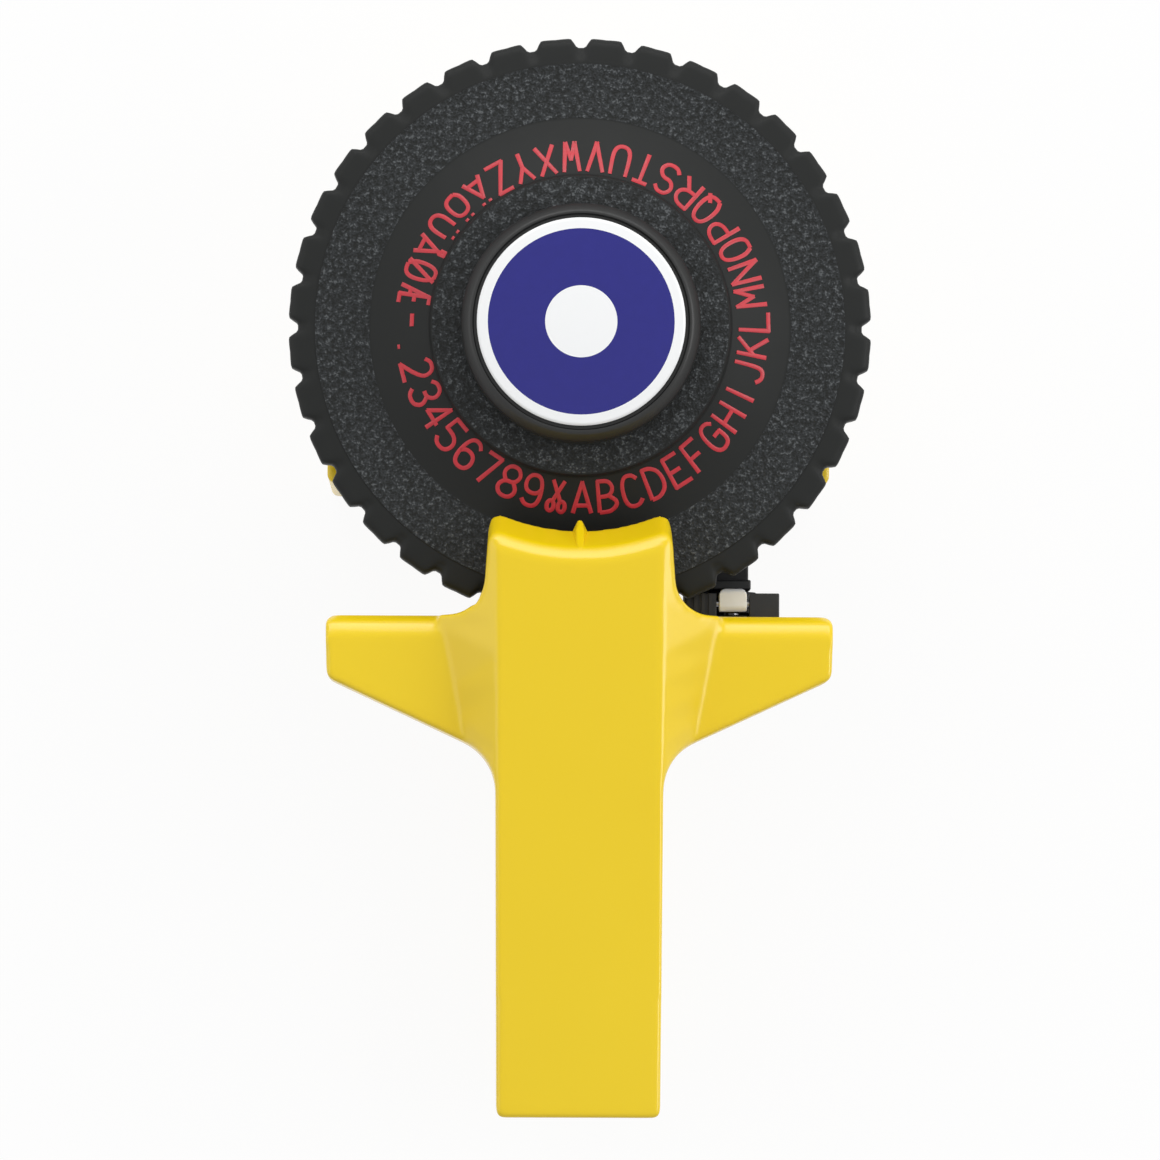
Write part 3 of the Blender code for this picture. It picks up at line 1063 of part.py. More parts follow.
tab_side = rounded([(TAB_FRONT, TAB_LOW, TAB_CORNER), (TAB_FRONT, TAB_TOP, TAB_CORNER),
                    (TAB_REAR, TAB_TOP, TAB_CORNER), (TAB_REAR, TAB_LOW, TAB_CORNER)])
tab_bore = circle(TAB_PIN_RADIUS + SMALL_FIT, (TAB_PIN_Y, TAB_PIN_Z))[::-1]
pressure_tab = slab("pressure_tab", [tab_side, tab_bore], FEED_X - TAB_HALF_WIDTH, FEED_X + TAB_HALF_WIDTH,
                    WHITE, plane="YZ")
cut(tape_guide, drum("tab_pin_bore", (FEED_X - TAB_PIN_REACH, TAB_PIN_Y, TAB_PIN_Z),
                     (FEED_X + TAB_PIN_REACH, TAB_PIN_Y, TAB_PIN_Z), TAB_PIN_RADIUS + SMALL_FIT))
pressure_pin = drum("pressure_pin", (FEED_X + SMALL_FIT - TAB_PIN_REACH, TAB_PIN_Y, TAB_PIN_Z),
                    (FEED_X - SMALL_FIT + TAB_PIN_REACH, TAB_PIN_Y, TAB_PIN_Z), TAB_PIN_RADIUS, STEEL)

# Feed axle with its roller and ratchet wheel, and the pawl that the lever's peg pushes
RATCHET_TEETH = 12
RATCHET_TIP = 0.0029
RATCHET_ROOT = 0.0023
TOOTH_SHARE = 0.9
PAWL_HUB = 0.0024
PAWL_HUB_CORNER = 0.0012
PAWL_TAIL_ROOM = 0.0012
PAWL_TAIL_LOW = 0.0006
PAWL_TAIL_START = 0.0034
CLICK_HALF_WIDTH = 0.0007
CLICK_LOW = 0.0032
CLICK_TOP = 0.0040
CLICK_MARGIN = 0.0001
CLICK_FRONT = RATCHET_FRONT - CLICK_MARGIN
PAWL_TAIL = FEED_X - ARM_OUTER - PAWL_TAIL_ROOM

feed_axle = drum("feed_axle", (FEED_X, AXLE_REAR, FEED_Z), (FEED_X, AXLE_FRONT, FEED_Z), AXLE_RADIUS, STEEL)
axle_bore_outline = circle(AXLE_RADIUS + SMALL_FIT, (FEED_X, FEED_Z))[::-1]
feed_roller = slab("feed_roller", [circle(ROLLER_RADIUS, (FEED_X, FEED_Z)), axle_bore_outline],
                   ROLLER_REAR, ROLLER_FRONT, BLACK, plane="XZ")
teeth = []
for tooth in range(RATCHET_TEETH):
    angle = math.tau * tooth / RATCHET_TEETH
    for radius in (RATCHET_ROOT, RATCHET_TIP):
        teeth.append((FEED_X + radius * math.cos(angle), FEED_Z + radius * math.sin(angle)))
        angle += math.tau / RATCHET_TEETH * TOOTH_SHARE
ratchet_wheel = slab("ratchet_wheel", [teeth, axle_bore_outline], RATCHET_REAR, RATCHET_FRONT, STEEL,
                     plane="XZ")
pawl_corners = [
    (PAWL_HUB, -PAWL_HUB, PAWL_HUB_CORNER), (PAWL_HUB, PAWL_HUB, PAWL_HUB_CORNER),
    (-PAWL_HUB, PAWL_HUB, PAWL_HUB_CORNER),
    (-PAWL_TAIL_START, PAWL_TAIL_TOP, 0), (-PAWL_TAIL, PAWL_TAIL_TOP, 0), (-PAWL_TAIL, -PAWL_TAIL_LOW, 0),
    (-PAWL_TAIL_START, -PAWL_TAIL_LOW, 0), (-PAWL_HUB, -PAWL_HUB, PAWL_HUB_CORNER)]
pawl_outline = [(FEED_X + u, FEED_Z + v) for u, v in rounded(pawl_corners)]
feed_pawl = slab("feed_pawl", [pawl_outline, axle_bore_outline], PAWL_REAR, PAWL_FRONT, BLACK, plane="XZ")
add(feed_pawl, block("click",
                     (FEED_X - CLICK_HALF_WIDTH, PAWL_REAR + SMALL_FIT, FEED_Z + PAWL_HUB - PAWL_TAIL_TOP),
                     (FEED_X + CLICK_HALF_WIDTH, PAWL_FRONT - SMALL_FIT, FEED_Z + CLICK_TOP)))
add(feed_pawl, block("click_finger",
                     (FEED_X - CLICK_HALF_WIDTH + SMALL_FIT, PAWL_REAR + FIT_GAP, FEED_Z + CLICK_LOW),
                     (FEED_X + CLICK_HALF_WIDTH - SMALL_FIT, CLICK_FRONT, FEED_Z + CLICK_TOP - SMALL_FIT)))

# Tape in the magazine: a core on the spindle with the tape wound on it
CORE_WALL = 0.0017
ROLL_ROOM = 0.0055
ROLL_RADIUS = MAGAZINE_RADIUS - ROLL_ROOM
core_bore = SPINDLE_RADIUS + FIT_GAP
core_radius = core_bore + CORE_WALL

tape_core = ring("tape_core", core_bore, core_radius, TAPE_LOW, TAPE_LOW + TAPE_WIDTH, WHITE,
                 (0, MAGAZINE_Y))
tape_roll = ring("tape_roll", core_radius + FIT_GAP, ROLL_RADIUS, TAPE_LOW, TAPE_LOW + TAPE_WIDTH, TAPE,
                 (0, MAGAZINE_Y), steps=ROUND_STEPS // 2)

# Magazine cover: a round lid under the body, hinged at its front edge
COVER_LOW = 0.0004
COVER_THICKNESS = 0.0012
KNUCKLE_FIT = 0.0001
KNUCKLE_RADIUS = HINGE_KNUCKLE - KNUCKLE_FIT

magazine_cover = drum("magazine_cover", (0, MAGAZINE_Y, COVER_LOW),
                      (0, MAGAZINE_Y, COVER_LOW + COVER_THICKNESS), MAGAZINE_RADIUS - FIT_GAP, YELLOW,
                      steps=ROUND_STEPS)
add(magazine_cover, block("cover_tongue", (-HINGE_HALF_WIDTH, MAGAZINE_Y, COVER_LOW + SMALL_FIT),
                          (HINGE_HALF_WIDTH, HINGE_Y, COVER_LOW + COVER_THICKNESS - SMALL_FIT)))
add(magazine_cover, drum("cover_knuckle", (-HINGE_HALF_WIDTH, HINGE_Y, HINGE_Z),
                         (HINGE_HALF_WIDTH, HINGE_Y, HINGE_Z), KNUCKLE_RADIUS))
cut(magazine_cover, drum("knuckle_bore", (-hinge_reach, HINGE_Y, HINGE_Z), (hinge_reach, HINGE_Y, HINGE_Z),
                         HINGE_PIN_RADIUS + SMALL_FIT))
cover_pin = drum("cover_pin", (FIT_GAP - hinge_reach, HINGE_Y, HINGE_Z),
                 (hinge_reach - FIT_GAP, HINGE_Y, HINGE_Z), HINGE_PIN_RADIUS, STEEL)


# Hang every piece on the joint that it turns about
def hinge(name, spot, pieces, parent):
    """An empty on a joint's axis, with the pieces that turn about it."""
    made = bpy.data.objects.new(name, None)
    PARTS.objects.link(made)
    made.parent = parent
    made.location = spot
    for piece in pieces:
        piece.parent = made
        piece.location = -Vector(spot)
    return made


tool_base = bpy.data.objects.new("tool_base", None)
PARTS.objects.link(tool_base)
tool_base.location = (0, OVERALL_LENGTH / 2 - DIAL_RADIUS, 0)
die_rings = [bpy.data.objects["upper_die_ring"], bpy.data.objects["lower_die_ring"]]
hinge("dial_axis", (0, 0, 0),
      [dial, *die_rings, die_spacer, cut_blade, hub_cap, hub_badge, wave_washer], tool_base)
hinge("lever_axis", (0, PIVOT_Y, PIVOT_Z), [upper_lever, lever_yoke, *yoke_screws, press_pad], tool_base)
hinge("feed_axis", (FEED_X, 0, FEED_Z), [feed_axle, feed_roller, ratchet_wheel], tool_base)
hinge("pawl_axis", (FEED_X, 0, FEED_Z), [feed_pawl], tool_base)
hinge("tab_axis", (FEED_X, TAB_PIN_Y, TAB_PIN_Z), [pressure_tab], tool_base)
hinge("cover_axis", (0, HINGE_Y, HINGE_Z), [magazine_cover], tool_base)
hinge("tape_axis", (0, MAGAZINE_Y, 0), [tape_core, tape_roll], tool_base)
for fixed in list(PARTS.objects) + list(CUTTERS.objects):
    if fixed.parent is None and fixed is not tool_base:
        fixed.parent = tool_base
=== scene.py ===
import math

import bmesh
import bpy
from mathutils import Matrix, Vector


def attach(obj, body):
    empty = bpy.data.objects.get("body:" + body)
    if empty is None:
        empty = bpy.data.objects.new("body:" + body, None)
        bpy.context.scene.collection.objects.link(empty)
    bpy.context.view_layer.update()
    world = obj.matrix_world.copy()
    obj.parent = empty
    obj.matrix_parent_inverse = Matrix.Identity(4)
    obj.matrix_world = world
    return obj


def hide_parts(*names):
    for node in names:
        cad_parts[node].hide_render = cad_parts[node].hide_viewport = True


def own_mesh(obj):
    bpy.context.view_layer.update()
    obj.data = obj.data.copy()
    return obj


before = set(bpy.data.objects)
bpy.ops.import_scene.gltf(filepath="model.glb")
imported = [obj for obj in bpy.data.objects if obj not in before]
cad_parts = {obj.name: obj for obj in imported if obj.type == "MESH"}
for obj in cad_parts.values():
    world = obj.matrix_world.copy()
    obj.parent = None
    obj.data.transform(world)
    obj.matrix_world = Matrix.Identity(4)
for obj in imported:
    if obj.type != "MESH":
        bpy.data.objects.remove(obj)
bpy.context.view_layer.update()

# Lower body.
# The housing, the neck and the lower grip are one hollow moulding in glossy yellow plastic, open underneath.
# The mould rounds each edge that a hand meets.
WELD = 0.000004


def only(piece):
    """Make one piece the only one selected."""
    bpy.ops.object.select_all(action="DESELECT")
    piece.select_set(True)
    bpy.context.view_layer.objects.active = piece
    return piece


def apply(piece, kind, **settings):
    """Add one modifier to a piece and apply it."""
    only(piece)
    change = piece.modifiers.new(kind.lower(), kind)
    for setting, value in settings.items():
        setattr(change, setting, value)
    bpy.ops.object.modifier_apply(modifier=change.name)


def smoothed(piece, grain, passes, kept_share):
    """Round every edge as a mould does: new skin in fine even cells, eased, then thinned out on the flats."""
    apply(piece, "REMESH", mode="VOXEL", voxel_size=grain)
    apply(piece, "SMOOTH", factor=0.5, iterations=passes)
    apply(piece, "DECIMATE", decimate_type="COLLAPSE", ratio=kept_share)
    bpy.ops.object.shade_smooth_by_angle(angle=math.pi)
    apply(piece, "WEIGHTED_NORMAL", keep_sharp=True, weight=80)


def copied(node, name):
    """A piece of its own with a node's shape, its loose triangles welded."""
    piece = bpy.data.objects.new(name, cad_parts[node].data.copy())
    piece.data.name = name
    bpy.context.scene.collection.objects.link(piece)
    only(piece)
    bpy.ops.object.mode_set(mode="EDIT")
    bpy.ops.mesh.select_all(action="SELECT")
    bpy.ops.mesh.remove_doubles(threshold=WELD)
    bpy.ops.object.mode_set(mode="OBJECT")
    return piece


def placed(piece, body, finish, slot, *nodes):
    """Give a finished piece its material, its body and the nodes it stands for. The slot argument is not
    used.
    """
    piece.data.materials.clear()
    piece.data.materials.append(finish.material)
    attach(piece, body)
    if nodes:
        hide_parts(*nodes)


class Signal:
    """A shader socket that can be used in sums. Each sum adds its Math node."""

    def __init__(self, shading, socket):
        self.shading = shading
        self.socket = socket

    def sum(self, operation, *values):
        """A Math node on values or signals."""
        return self.shading.node("ShaderNodeMath", {"operation": operation}, dict(enumerate(values)))

    def __add__(self, other):
        return self.sum("ADD", self, other)

    def __radd__(self, other):
        return self.sum("ADD", other, self)

    def __mul__(self, other):
        return self.sum("MULTIPLY", self, other)

    def __rmul__(self, other):
        return self.sum("MULTIPLY", other, self)

    def __gt__(self, other):
        return self.sum("GREATER_THAN", self, other)

    def __lt__(self, other):
        return self.sum("LESS_THAN", self, other)

    def between(self, low, high):
        """0 below low, 1 above high, and a straight rise between them."""
        return self.shading.node("ShaderNodeMapRange", {"clamp": True},
                                 {"Value": self, "From Min": low, "From Max": high})


class Shading:
    """The node tree of a material or of the world."""

    def __init__(self, owner):
        owner.use_nodes = True
        self.tree = owner.node_tree

    def node(self, kind, settings, inputs, output=0):
        """A node: its type, its settings, and the values or signals for its sockets."""
        made = self.tree.nodes.new(kind)
        for setting, value in settings.items():
            setattr(made, setting, value)
        for socket, value in inputs.items():
            if isinstance(value, Signal):
                self.tree.links.new(value.socket, made.inputs[socket])
            else:
                made.inputs[socket].default_value = value
        return Signal(self, made.outputs[output])


class Finish(Shading):
    """A material built round the Principled shader."""

    def __init__(self, name, colour, roughness, **fixed):
        self.material = bpy.data.materials.new(name)
        super().__init__(self.material)
        self.shader = self.tree.nodes["Principled BSDF"]
        self.give("Base Color", (*colour, 1))
        self.give("Roughness", roughness)
        for socket, value in fixed.items():
            self.give(socket.replace("_", " "), value)
        self.where = self.node("ShaderNodeTexCoord", {}, {}, "Object")

    def give(self, socket, value):
        """A fixed value or a signal for one of the shader's own sockets."""
        if isinstance(value, Signal):
            self.tree.links.new(value.socket, self.shader.inputs[socket])
        else:
            self.shader.inputs[socket].default_value = value

    def noise(self, scale, detail=2.0, roughness=0.5, along=None):
        """Noise over the surface, drawn out by the shares in along where it is given."""
        where = self.where
        if along:
            where = self.node("ShaderNodeMapping", {}, {"Vector": where, "Scale": along})
        return self.node("ShaderNodeTexNoise", {},
                         {"Vector": where, "Scale": scale, "Detail": detail, "Roughness": roughness})

    def mix(self, share, low, high):
        """One colour or the other, by the share."""
        inputs = {0: share, 6: low if isinstance(low, Signal) else (*low, 1),
                  7: high if isinstance(high, Signal) else (*high, 1)}
        return self.node("ShaderNodeMix", {"data_type": "RGBA"}, inputs, 2)

    def radius(self, centre):
        """Distance from an upright axis."""
        away = self.node("ShaderNodeVectorMath", {"operation": "SUBTRACT"}, {0: self.where, 1: centre})
        flat = self.node("ShaderNodeVectorMath", {"operation": "MULTIPLY"}, {0: away, 1: (1, 1, 0)})
        return self.node("ShaderNodeVectorMath", {"operation": "LENGTH"}, {0: flat}, 1)

    def bump(self, height, strength, distance):
        """Fine relief from a height signal."""
        self.give("Normal", self.node("ShaderNodeBump", {},
                                      {"Height": height, "Strength": strength, "Distance": distance}))


yellow = Finish("yellow_gloss_plastic", (0.84, 0.60, 0.005), 0.24)
flow = yellow.noise(30, 2).between(0.30, 0.70)
yellow.give("Base Color", yellow.mix(flow, (0.832, 0.586, 0.004), (0.848, 0.606, 0.006)))
yellow.give("Roughness", 0.20 + yellow.noise(45) * 0.08)
yellow.bump(yellow.noise(140, 1), 0.05, 0.00008)

lower_body = copied("lower_body", "lower_body_moulding")
smoothed(lower_body, grain=0.00045, passes=3, kept_share=0.28)
placed(lower_body, "root", yellow, "yellow_plastic", "lower_body")

# Lever pin and its clips.
# A plated steel pin through the housing's lugs, held by a sprung clip at each end.
steel = Finish("zinc_plated_steel", (0.62, 0.62, 0.63), 0.30, Metallic=1.0)
streaks = steel.noise(1400, 3, 0.6, (1, 1, 0.12))
steel.give("Base Color", steel.mix(steel.noise(300, 3).between(0.35, 0.7),
                                   (0.40, 0.40, 0.42), (0.50, 0.50, 0.51)))
steel.give("Roughness", 0.24 + streaks * 0.18)
steel.bump(streaks, 0.10, 0.00003)

spring_steel = Finish("drawn_spring_steel", (0.42, 0.42, 0.44), 0.32, Metallic=1.0)
drawn_marks = spring_steel.noise(2200, 2, 0.5)
spring_steel.give("Base Color", spring_steel.mix(drawn_marks.between(0.4, 0.7), (0.28, 0.28, 0.30),
                                                 (0.38, 0.38, 0.40)))
spring_steel.give("Roughness", 0.26 + drawn_marks * 0.16)


def dress(finish, *names):
    """Give solids whose shape stays as it is their finished material."""
    for name in names:
        for material_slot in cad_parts[name].material_slots:
            material_slot.material = finish.material


dress(steel, "lever_pin")
dress(spring_steel, "left_pin_clip", "right_pin_clip")

# Deck plate, its screws and the detent spring.
# The yellow plate closes the housing under the dies. Four screws hold it, and a steel leaf spring on it
# clicks into the lower die ring's grooves.
deck = copied("deck_plate", "deck_plate_moulding")
smoothed(deck, grain=0.00035, passes=2, kept_share=0.20)
placed(deck, "root", yellow, "yellow_plastic", "deck_plate")
dress(steel, "deck_screw_1", "deck_screw_2", "deck_screw_3", "deck_screw_4")
dress(spring_steel, "detent_spring")

# Post and anvil.
# The dial turns on a steel post that stands in the deck. A washer and a screw keep it there. The anvil backs
# up the dies where the lever presses.
dress(steel, "wheel_post", "post_washer", "post_screw", "anvil")

# Die rings.
# Two tough plastic rings whose fingers carry the dies, the raised characters above and the hollows below. A
# black spacer parts them, a steel blade cuts at the scissors, and a steel wave washer takes up the play.
die_plastic = Finish("die_plastic", (0.035, 0.035, 0.039), 0.42)
die_cloud = die_plastic.noise(260, 3)
die_plastic.give("Base Color", die_plastic.mix(die_cloud.between(0.35, 0.7), (0.028, 0.028, 0.032),
                                               (0.042, 0.042, 0.047)))
die_plastic.give("Roughness", 0.34 + die_cloud * 0.18)
die_plastic.bump(die_plastic.noise(3000, 2), 0.10, 0.00004)
dress(die_plastic, "upper_die_ring", "lower_die_ring")

black = Finish("black_moulded_plastic", (0.013, 0.0135, 0.014), 0.40, Specular_IOR_Level=0.4)
black_cloud = black.noise(220, 3)
black.give("Base Color", black.mix(black_cloud.between(0.35, 0.7),
                                   (0.011, 0.0115, 0.012), (0.017, 0.0175, 0.018)))
black.give("Roughness", 0.34 + black_cloud * 0.16)
black.bump(black.noise(2400, 2), 0.12, 0.00005)
dress(black, "die_spacer")
dress(steel, "cut_blade")
dress(spring_steel, "wave_washer")

# Character dial.
# A black disc moulded in one piece: a scalloped rim for the thumb, a smooth outer ring, a flat ring with a
# coarse sparked texture, a smooth sloping ring for the characters and a raised, textured middle.
AXIS = Vector((0, 0.03185, 0))
RIM = 0.0375
RIM_RING = 0.0342
RIM_FLAT = 0.0350
TEXT_FOOT = 0.0270
TEXT_HEAD = 0.0195
MIDDLE = 0.0193
WELL = 0.0110
BARREL = 0.0080
BORE = 0.0053
DISC_LOW = 0.0372
FACE = 0.0414
TEXT_HEAD_Z = 0.0444
MIDDLE_TOP = 0.0456
WELL_FLOOR = 0.0418
BARREL_LOW = 0.0305
LOBES = 36
NOTCH_DEPTH = 0.0012
NOTCH_SHARE = 0.225
NOTCH_FOOT_SHARE = 0.055
LOBE_DOME_SHARE = 0.05
DIAL_STEPS = 720


def drawn(name, points):
    """A chain of edges through the points, drawn out from one vertex; left in edit mode, all selected."""
    bpy.ops.object.select_all(action="DESELECT")
    bpy.ops.mesh.primitive_plane_add(size=0.001)
    piece = bpy.context.active_object
    piece.name = name
    piece.data.name = name
    bpy.ops.object.mode_set(mode="EDIT")
    bpy.ops.mesh.select_all(action="SELECT")
    bpy.ops.mesh.merge(type="CENTER")
    here = Vector((0, 0, 0))
    for number, point in enumerate(points):
        step = Vector(point) - here
        if number == 0:
            bpy.ops.transform.translate(value=step)
        else:
            bpy.ops.mesh.extrude_region_move(TRANSFORM_OT_translate={"value": step})
        here = Vector(point)
    bpy.ops.mesh.select_all(action="SELECT")
    return piece


def closed(piece, angle=35):
    """Weld, turn the faces outwards, leave edit mode and shade by angle."""
    bpy.ops.mesh.select_all(action="SELECT")
    bpy.ops.mesh.remove_doubles(threshold=WELD)
    bpy.ops.mesh.normals_make_consistent(inside=False)
    bpy.ops.object.mode_set(mode="OBJECT")
    only(piece)
    bpy.ops.object.shade_smooth_by_angle(angle=math.radians(angle))
    return piece


def spun(name, profile, steps, centre=AXIS):
    """A closed profile of (radius, height), spun round an upright axis."""
    loop = list(profile)
    if profile[0][0] > 0:
        loop.append(profile[0])
    piece = drawn(name, [(centre.x + radius, centre.y, height) for radius, height in loop])
    bpy.ops.mesh.spin(steps=steps, angle=math.tau, center=centre, axis=(0, 0, 1))
    return closed(piece)


dial_black = Finish("dial_black", (0.018, 0.0190, 0.0185), 0.5, Specular_IOR_Level=0.15)
from_axis = dial_black.radius(AXIS)
sparked = (from_axis > TEXT_FOOT + 0.0001) * (from_axis < RIM_RING - 0.0001) + (from_axis < MIDDLE - 0.0003)
coarse = dial_black.noise(1500, 2, 0.6)
fine = dial_black.noise(3600, 1, 0.5)
grains = coarse * 0.6 + fine * 0.4
# Painted light on the textured rings: darker in the low spots of the grain, where shade falls, and lighter on
# its raised spots.
lit_grain_share = grains.between(0.43, 0.55)
# Painted glints: light specks on the highest spots of the grain stand in for glints of light off it.
painted_glints = grains.between(0.56, 0.64)
pit_shaded_black = dial_black.mix(lit_grain_share * sparked, (0.0165, 0.0175, 0.017), (0.034, 0.037, 0.039))
dial_black.give("Base Color", dial_black.mix(painted_glints * sparked * 0.6, pit_shaded_black, (0.15, 0.16, 0.165)))
dial_black.give("Roughness", 0.48 + sparked * 0.14 + dial_black.noise(160) * 0.08)
dial_black.bump(sparked * grains + dial_black.noise(5200, 1) * 0.02, 0.75, 0.0004)

character_dial = spun("character_dial", [
    (BORE, WELL_FLOOR), (WELL, WELL_FLOOR), (WELL, MIDDLE_TOP - 0.0001), (WELL + 0.0001, MIDDLE_TOP),
    (0.01895, MIDDLE_TOP), (0.01918, 0.04552), (MIDDLE, 0.0453), (0.01940, 0.0446), (0.01948, 0.04444),
    (0.01965, TEXT_HEAD_Z - 0.00008), (0.0268, 0.04148), (0.02705, FACE),
    (RIM_RING - 0.0001, FACE), (RIM_RING, FACE - 0.00012), (RIM_FLAT, 0.04117), (0.0363, 0.04103),
    (0.0367, 0.04095), (0.0371, 0.04078), (0.03738, 0.04048), (RIM, 0.0400), (RIM, 0.0379),
    (0.03738, 0.03752), (0.0371, 0.0373), (0.0367, DISC_LOW), (RIM_FLAT, DISC_LOW),
    (BARREL, DISC_LOW), (BARREL, BARREL_LOW), (BORE, BARREL_LOW)], DIAL_STEPS)
for vertex in character_dial.data.vertices:
    arm = (vertex.co - AXIS).to_2d()
    if arm.length > RIM_FLAT + 0.0001:
        turn = math.atan2(arm.y, arm.x) / math.tau * LOBES
        apart = abs(turn - round(turn))
        fall = min(max(apart - NOTCH_FOOT_SHARE, 0) / (NOTCH_SHARE - NOTCH_FOOT_SHARE), 1)
        depth = 0.5 + 0.5 * math.cos(math.pi * fall)
        dome = LOBE_DOME_SHARE * max(1 - (0.5 - apart) / (0.5 - NOTCH_SHARE), 0) ** 2
        arm *= 1 - NOTCH_DEPTH * max(depth, dome) / arm.length
        vertex.co.x = AXIS.x + arm.x
        vertex.co.y = AXIS.y + arm.y
placed(character_dial, "dial", dial_black, "black_plastic", "dial")

# Red characters.
# Forty-three characters hot-stamped in red on the dial's sloping ring, their heads towards the middle. They
# run from A at the pointer through the alphabet and the figures to the scissors that mark the cutting place.
GRID_WIDE = 8
GRID_HIGH = 12
GLYPH_WIDTH = 0.00218
GLYPH_HEIGHT = 0.0039
GLYPH_FOOT = 0.0239
GLYPH_PEN = 0.00026
STAMP_AXIS = AXIS + Vector((0.0003, -0.0001, 0))
PEN_OVERLAP_SHARE = 0.55
GLYPH_LIFT = 0.00002
GLYPH_RISE_SHARE = 0.2
SHARP = math.radians(70)
CORNER_ROUNDS = 2
CORNER_SHARE = 0.25
# Each stroke goes through points on the grid, each written as two hexadecimal digits.
GLYPHS = [
    "00 4c 80;13 73", "00 0c 5c 7a 78 56 06;56 84 82 50 00", "8a 6c 2c 09 03 20 60 82",
    "00 0c 4c 89 83 40 00", "80 00 0c 8c;06 66", "00 0c 8c;06 66", "8a 6c 2c 09 03 20 60 82 86 46",
    "00 0c;80 8c;06 86", "40 4c", "02 20 50 72 7c", "00 0c;8c 05;27 80", "0c 00 80", "00 0c 45 8c 80",
    "00 0c 80 8c", "20 60 83 89 6c 2c 09 03 20", "00 0c 5c 8a 87 55 05", "20 60 83 89 6c 2c 09 03 20;53 80",
    "00 0c 5c 8a 87 55 05;45 80", "02 20 60 82 84 66 26 08 0a 2c 6c 8a", "40 4c;0c 8c",
    "0c 03 20 60 83 8c", "0c 40 8c", "0c 20 47 60 8c", "00 8c;0c 80", "0c 46 8c;46 40", "0c 8c 00 80",
    "00 49 80;12 72;2b 2c;6b 6c", "20 60 82 87 69 29 07 02 20;2b 2c;6b 6c", "09 03 20 60 83 89;2b 2c;6b 6c",
    "00 49 80;12 72;3a 5a 5c 3c 3a", "20 60 83 89 6c 2c 09 03 20;00 8c", "00 4c 8c;4c 40 80;46 76;14 44",
    "16 76", "40 41", "0a 2c 6c 8a 87 00 80", "0a 2c 6c 8a 88 66 36;66 84 82 60 20 02", "60 6c 04 84",
    "8c 0c 07 57 85 82 60 20 02", "8a 6c 2c 09 03 20 60 82 85 67 27 05", "0c 8c 30",
    "26 08 0a 2c 6c 8a 88 66 26 04 02 20 60 82 84 66", "02 20 60 83 89 6c 2c 0a 07 25 65 87",
    "24 14 03 01 10 20 31 33 24 7c;64 74 83 81 70 60 51 53 64 1c"]

red_stamp = Finish("red_stamping", (0.56, 0.022, 0.035), 0.42)
worn_red = red_stamp.noise(900, 3).between(0.35, 0.62)
red_stamp.give("Base Color", red_stamp.mix(worn_red, (0.47, 0.018, 0.032), (0.55, 0.024, 0.038)))
red_stamp.give("Roughness", 0.38 + worn_red * 0.14)


def parted(dots):
    """A stroke parted at its sharp corners, where both parts run on by about half the pen's radius."""
    parts = [[dots[0]]]
    for before, here, after in zip(dots, dots[1:], dots[2:]):
        if (here - before).angle(after - here) > SHARP:
            parts[-1].append(here + (here - before).normalized() * GLYPH_PEN * PEN_OVERLAP_SHARE)
            parts.append([here - (after - here).normalized() * GLYPH_PEN * PEN_OVERLAP_SHARE])
        else:
            parts[-1].append(here)
    parts[-1].append(dots[-1])
    return parts


def penned(dots):
    """A stroke with its corners rounded."""
    for turn in range(CORNER_ROUNDS):
        path = [dots[0]]
        for before, here, after in zip(dots, dots[1:], dots[2:]):
            path += [here + (before - here) * CORNER_SHARE, here + (after - here) * CORNER_SHARE]
        dots = path + [dots[-1]]
    return dots


def swept(name, strokes, wire, around):
    """Round strokes drawn through lists of points, as one mesh."""
    bpy.ops.object.select_all(action="DESELECT")
    bpy.ops.curve.primitive_nurbs_path_add()
    piece = bpy.context.active_object
    piece.name = name
    pen = piece.data
    pen.splines.clear()
    pen.bevel_depth = wire
    pen.bevel_resolution = around
    pen.use_fill_caps = True
    for stroke in strokes:
        line = pen.splines.new("POLY")
        line.points.add(len(stroke) - 1)
        for point, spot in zip(line.points, stroke):
            point.co = (*spot, 1)
    only(piece)
    bpy.ops.object.convert(target="MESH")
    return bpy.context.active_object


spread = 2 * RIM
strokes = []
for place, glyph in enumerate(GLYPHS):
    for stroke in glyph.split(";"):
        dots = [Vector(((int(dot[0], 16) / GRID_WIDE - 0.5) * GLYPH_WIDTH,
                        int(dot[1], 16) / GRID_HIGH * GLYPH_HEIGHT)) for dot in stroke.split()]
        strokes += [[(place * spread + dot.x, dot.y, 0) for dot in penned(part)] for part in parted(dots)]
characters = swept("red_characters", strokes, GLYPH_PEN, 1)
for vertex in characters.data.vertices:
    place = round(vertex.co.x / spread)
    aside = vertex.co.x - place * spread
    out = GLYPH_FOOT - vertex.co.y
    turn = math.tau * place / len(GLYPHS) - math.pi / 2 + aside / (GLYPH_FOOT - GLYPH_HEIGHT / 2)
    spot = STAMP_AXIS + Vector((out * math.cos(turn), out * math.sin(turn), 0))
    along = ((spot - AXIS).length - TEXT_HEAD) / (TEXT_FOOT - TEXT_HEAD)
    spot.z = TEXT_HEAD_Z + along * (FACE - TEXT_HEAD_Z) + GLYPH_LIFT + vertex.co.z * GLYPH_RISE_SHARE
    vertex.co = spot
bpy.ops.object.mode_set(mode="EDIT")
closed(characters)
placed(characters, "dial", red_stamp, "embossing_tape")

# Hub cap and badge.
# The black cap snaps into the dial's middle over the post's screw. The badge is a thin enamelled disc let
# into its top, white with a plain blue ring.
HUB_TOP = 0.0510
HUB_RECESS = 0.0505
HUB_FOOT = 0.0459
HUB_SNAP_LOW = 0.0433
HUB_CEILING = 0.0490
ROUND_STEPS = 128
BADGE_RADIUS = 0.0133
BADGE_TOP = 0.0512
BADGE_LOW = 0.0508
BLUE_OUTER = 0.0119
BLUE_INNER = 0.0046

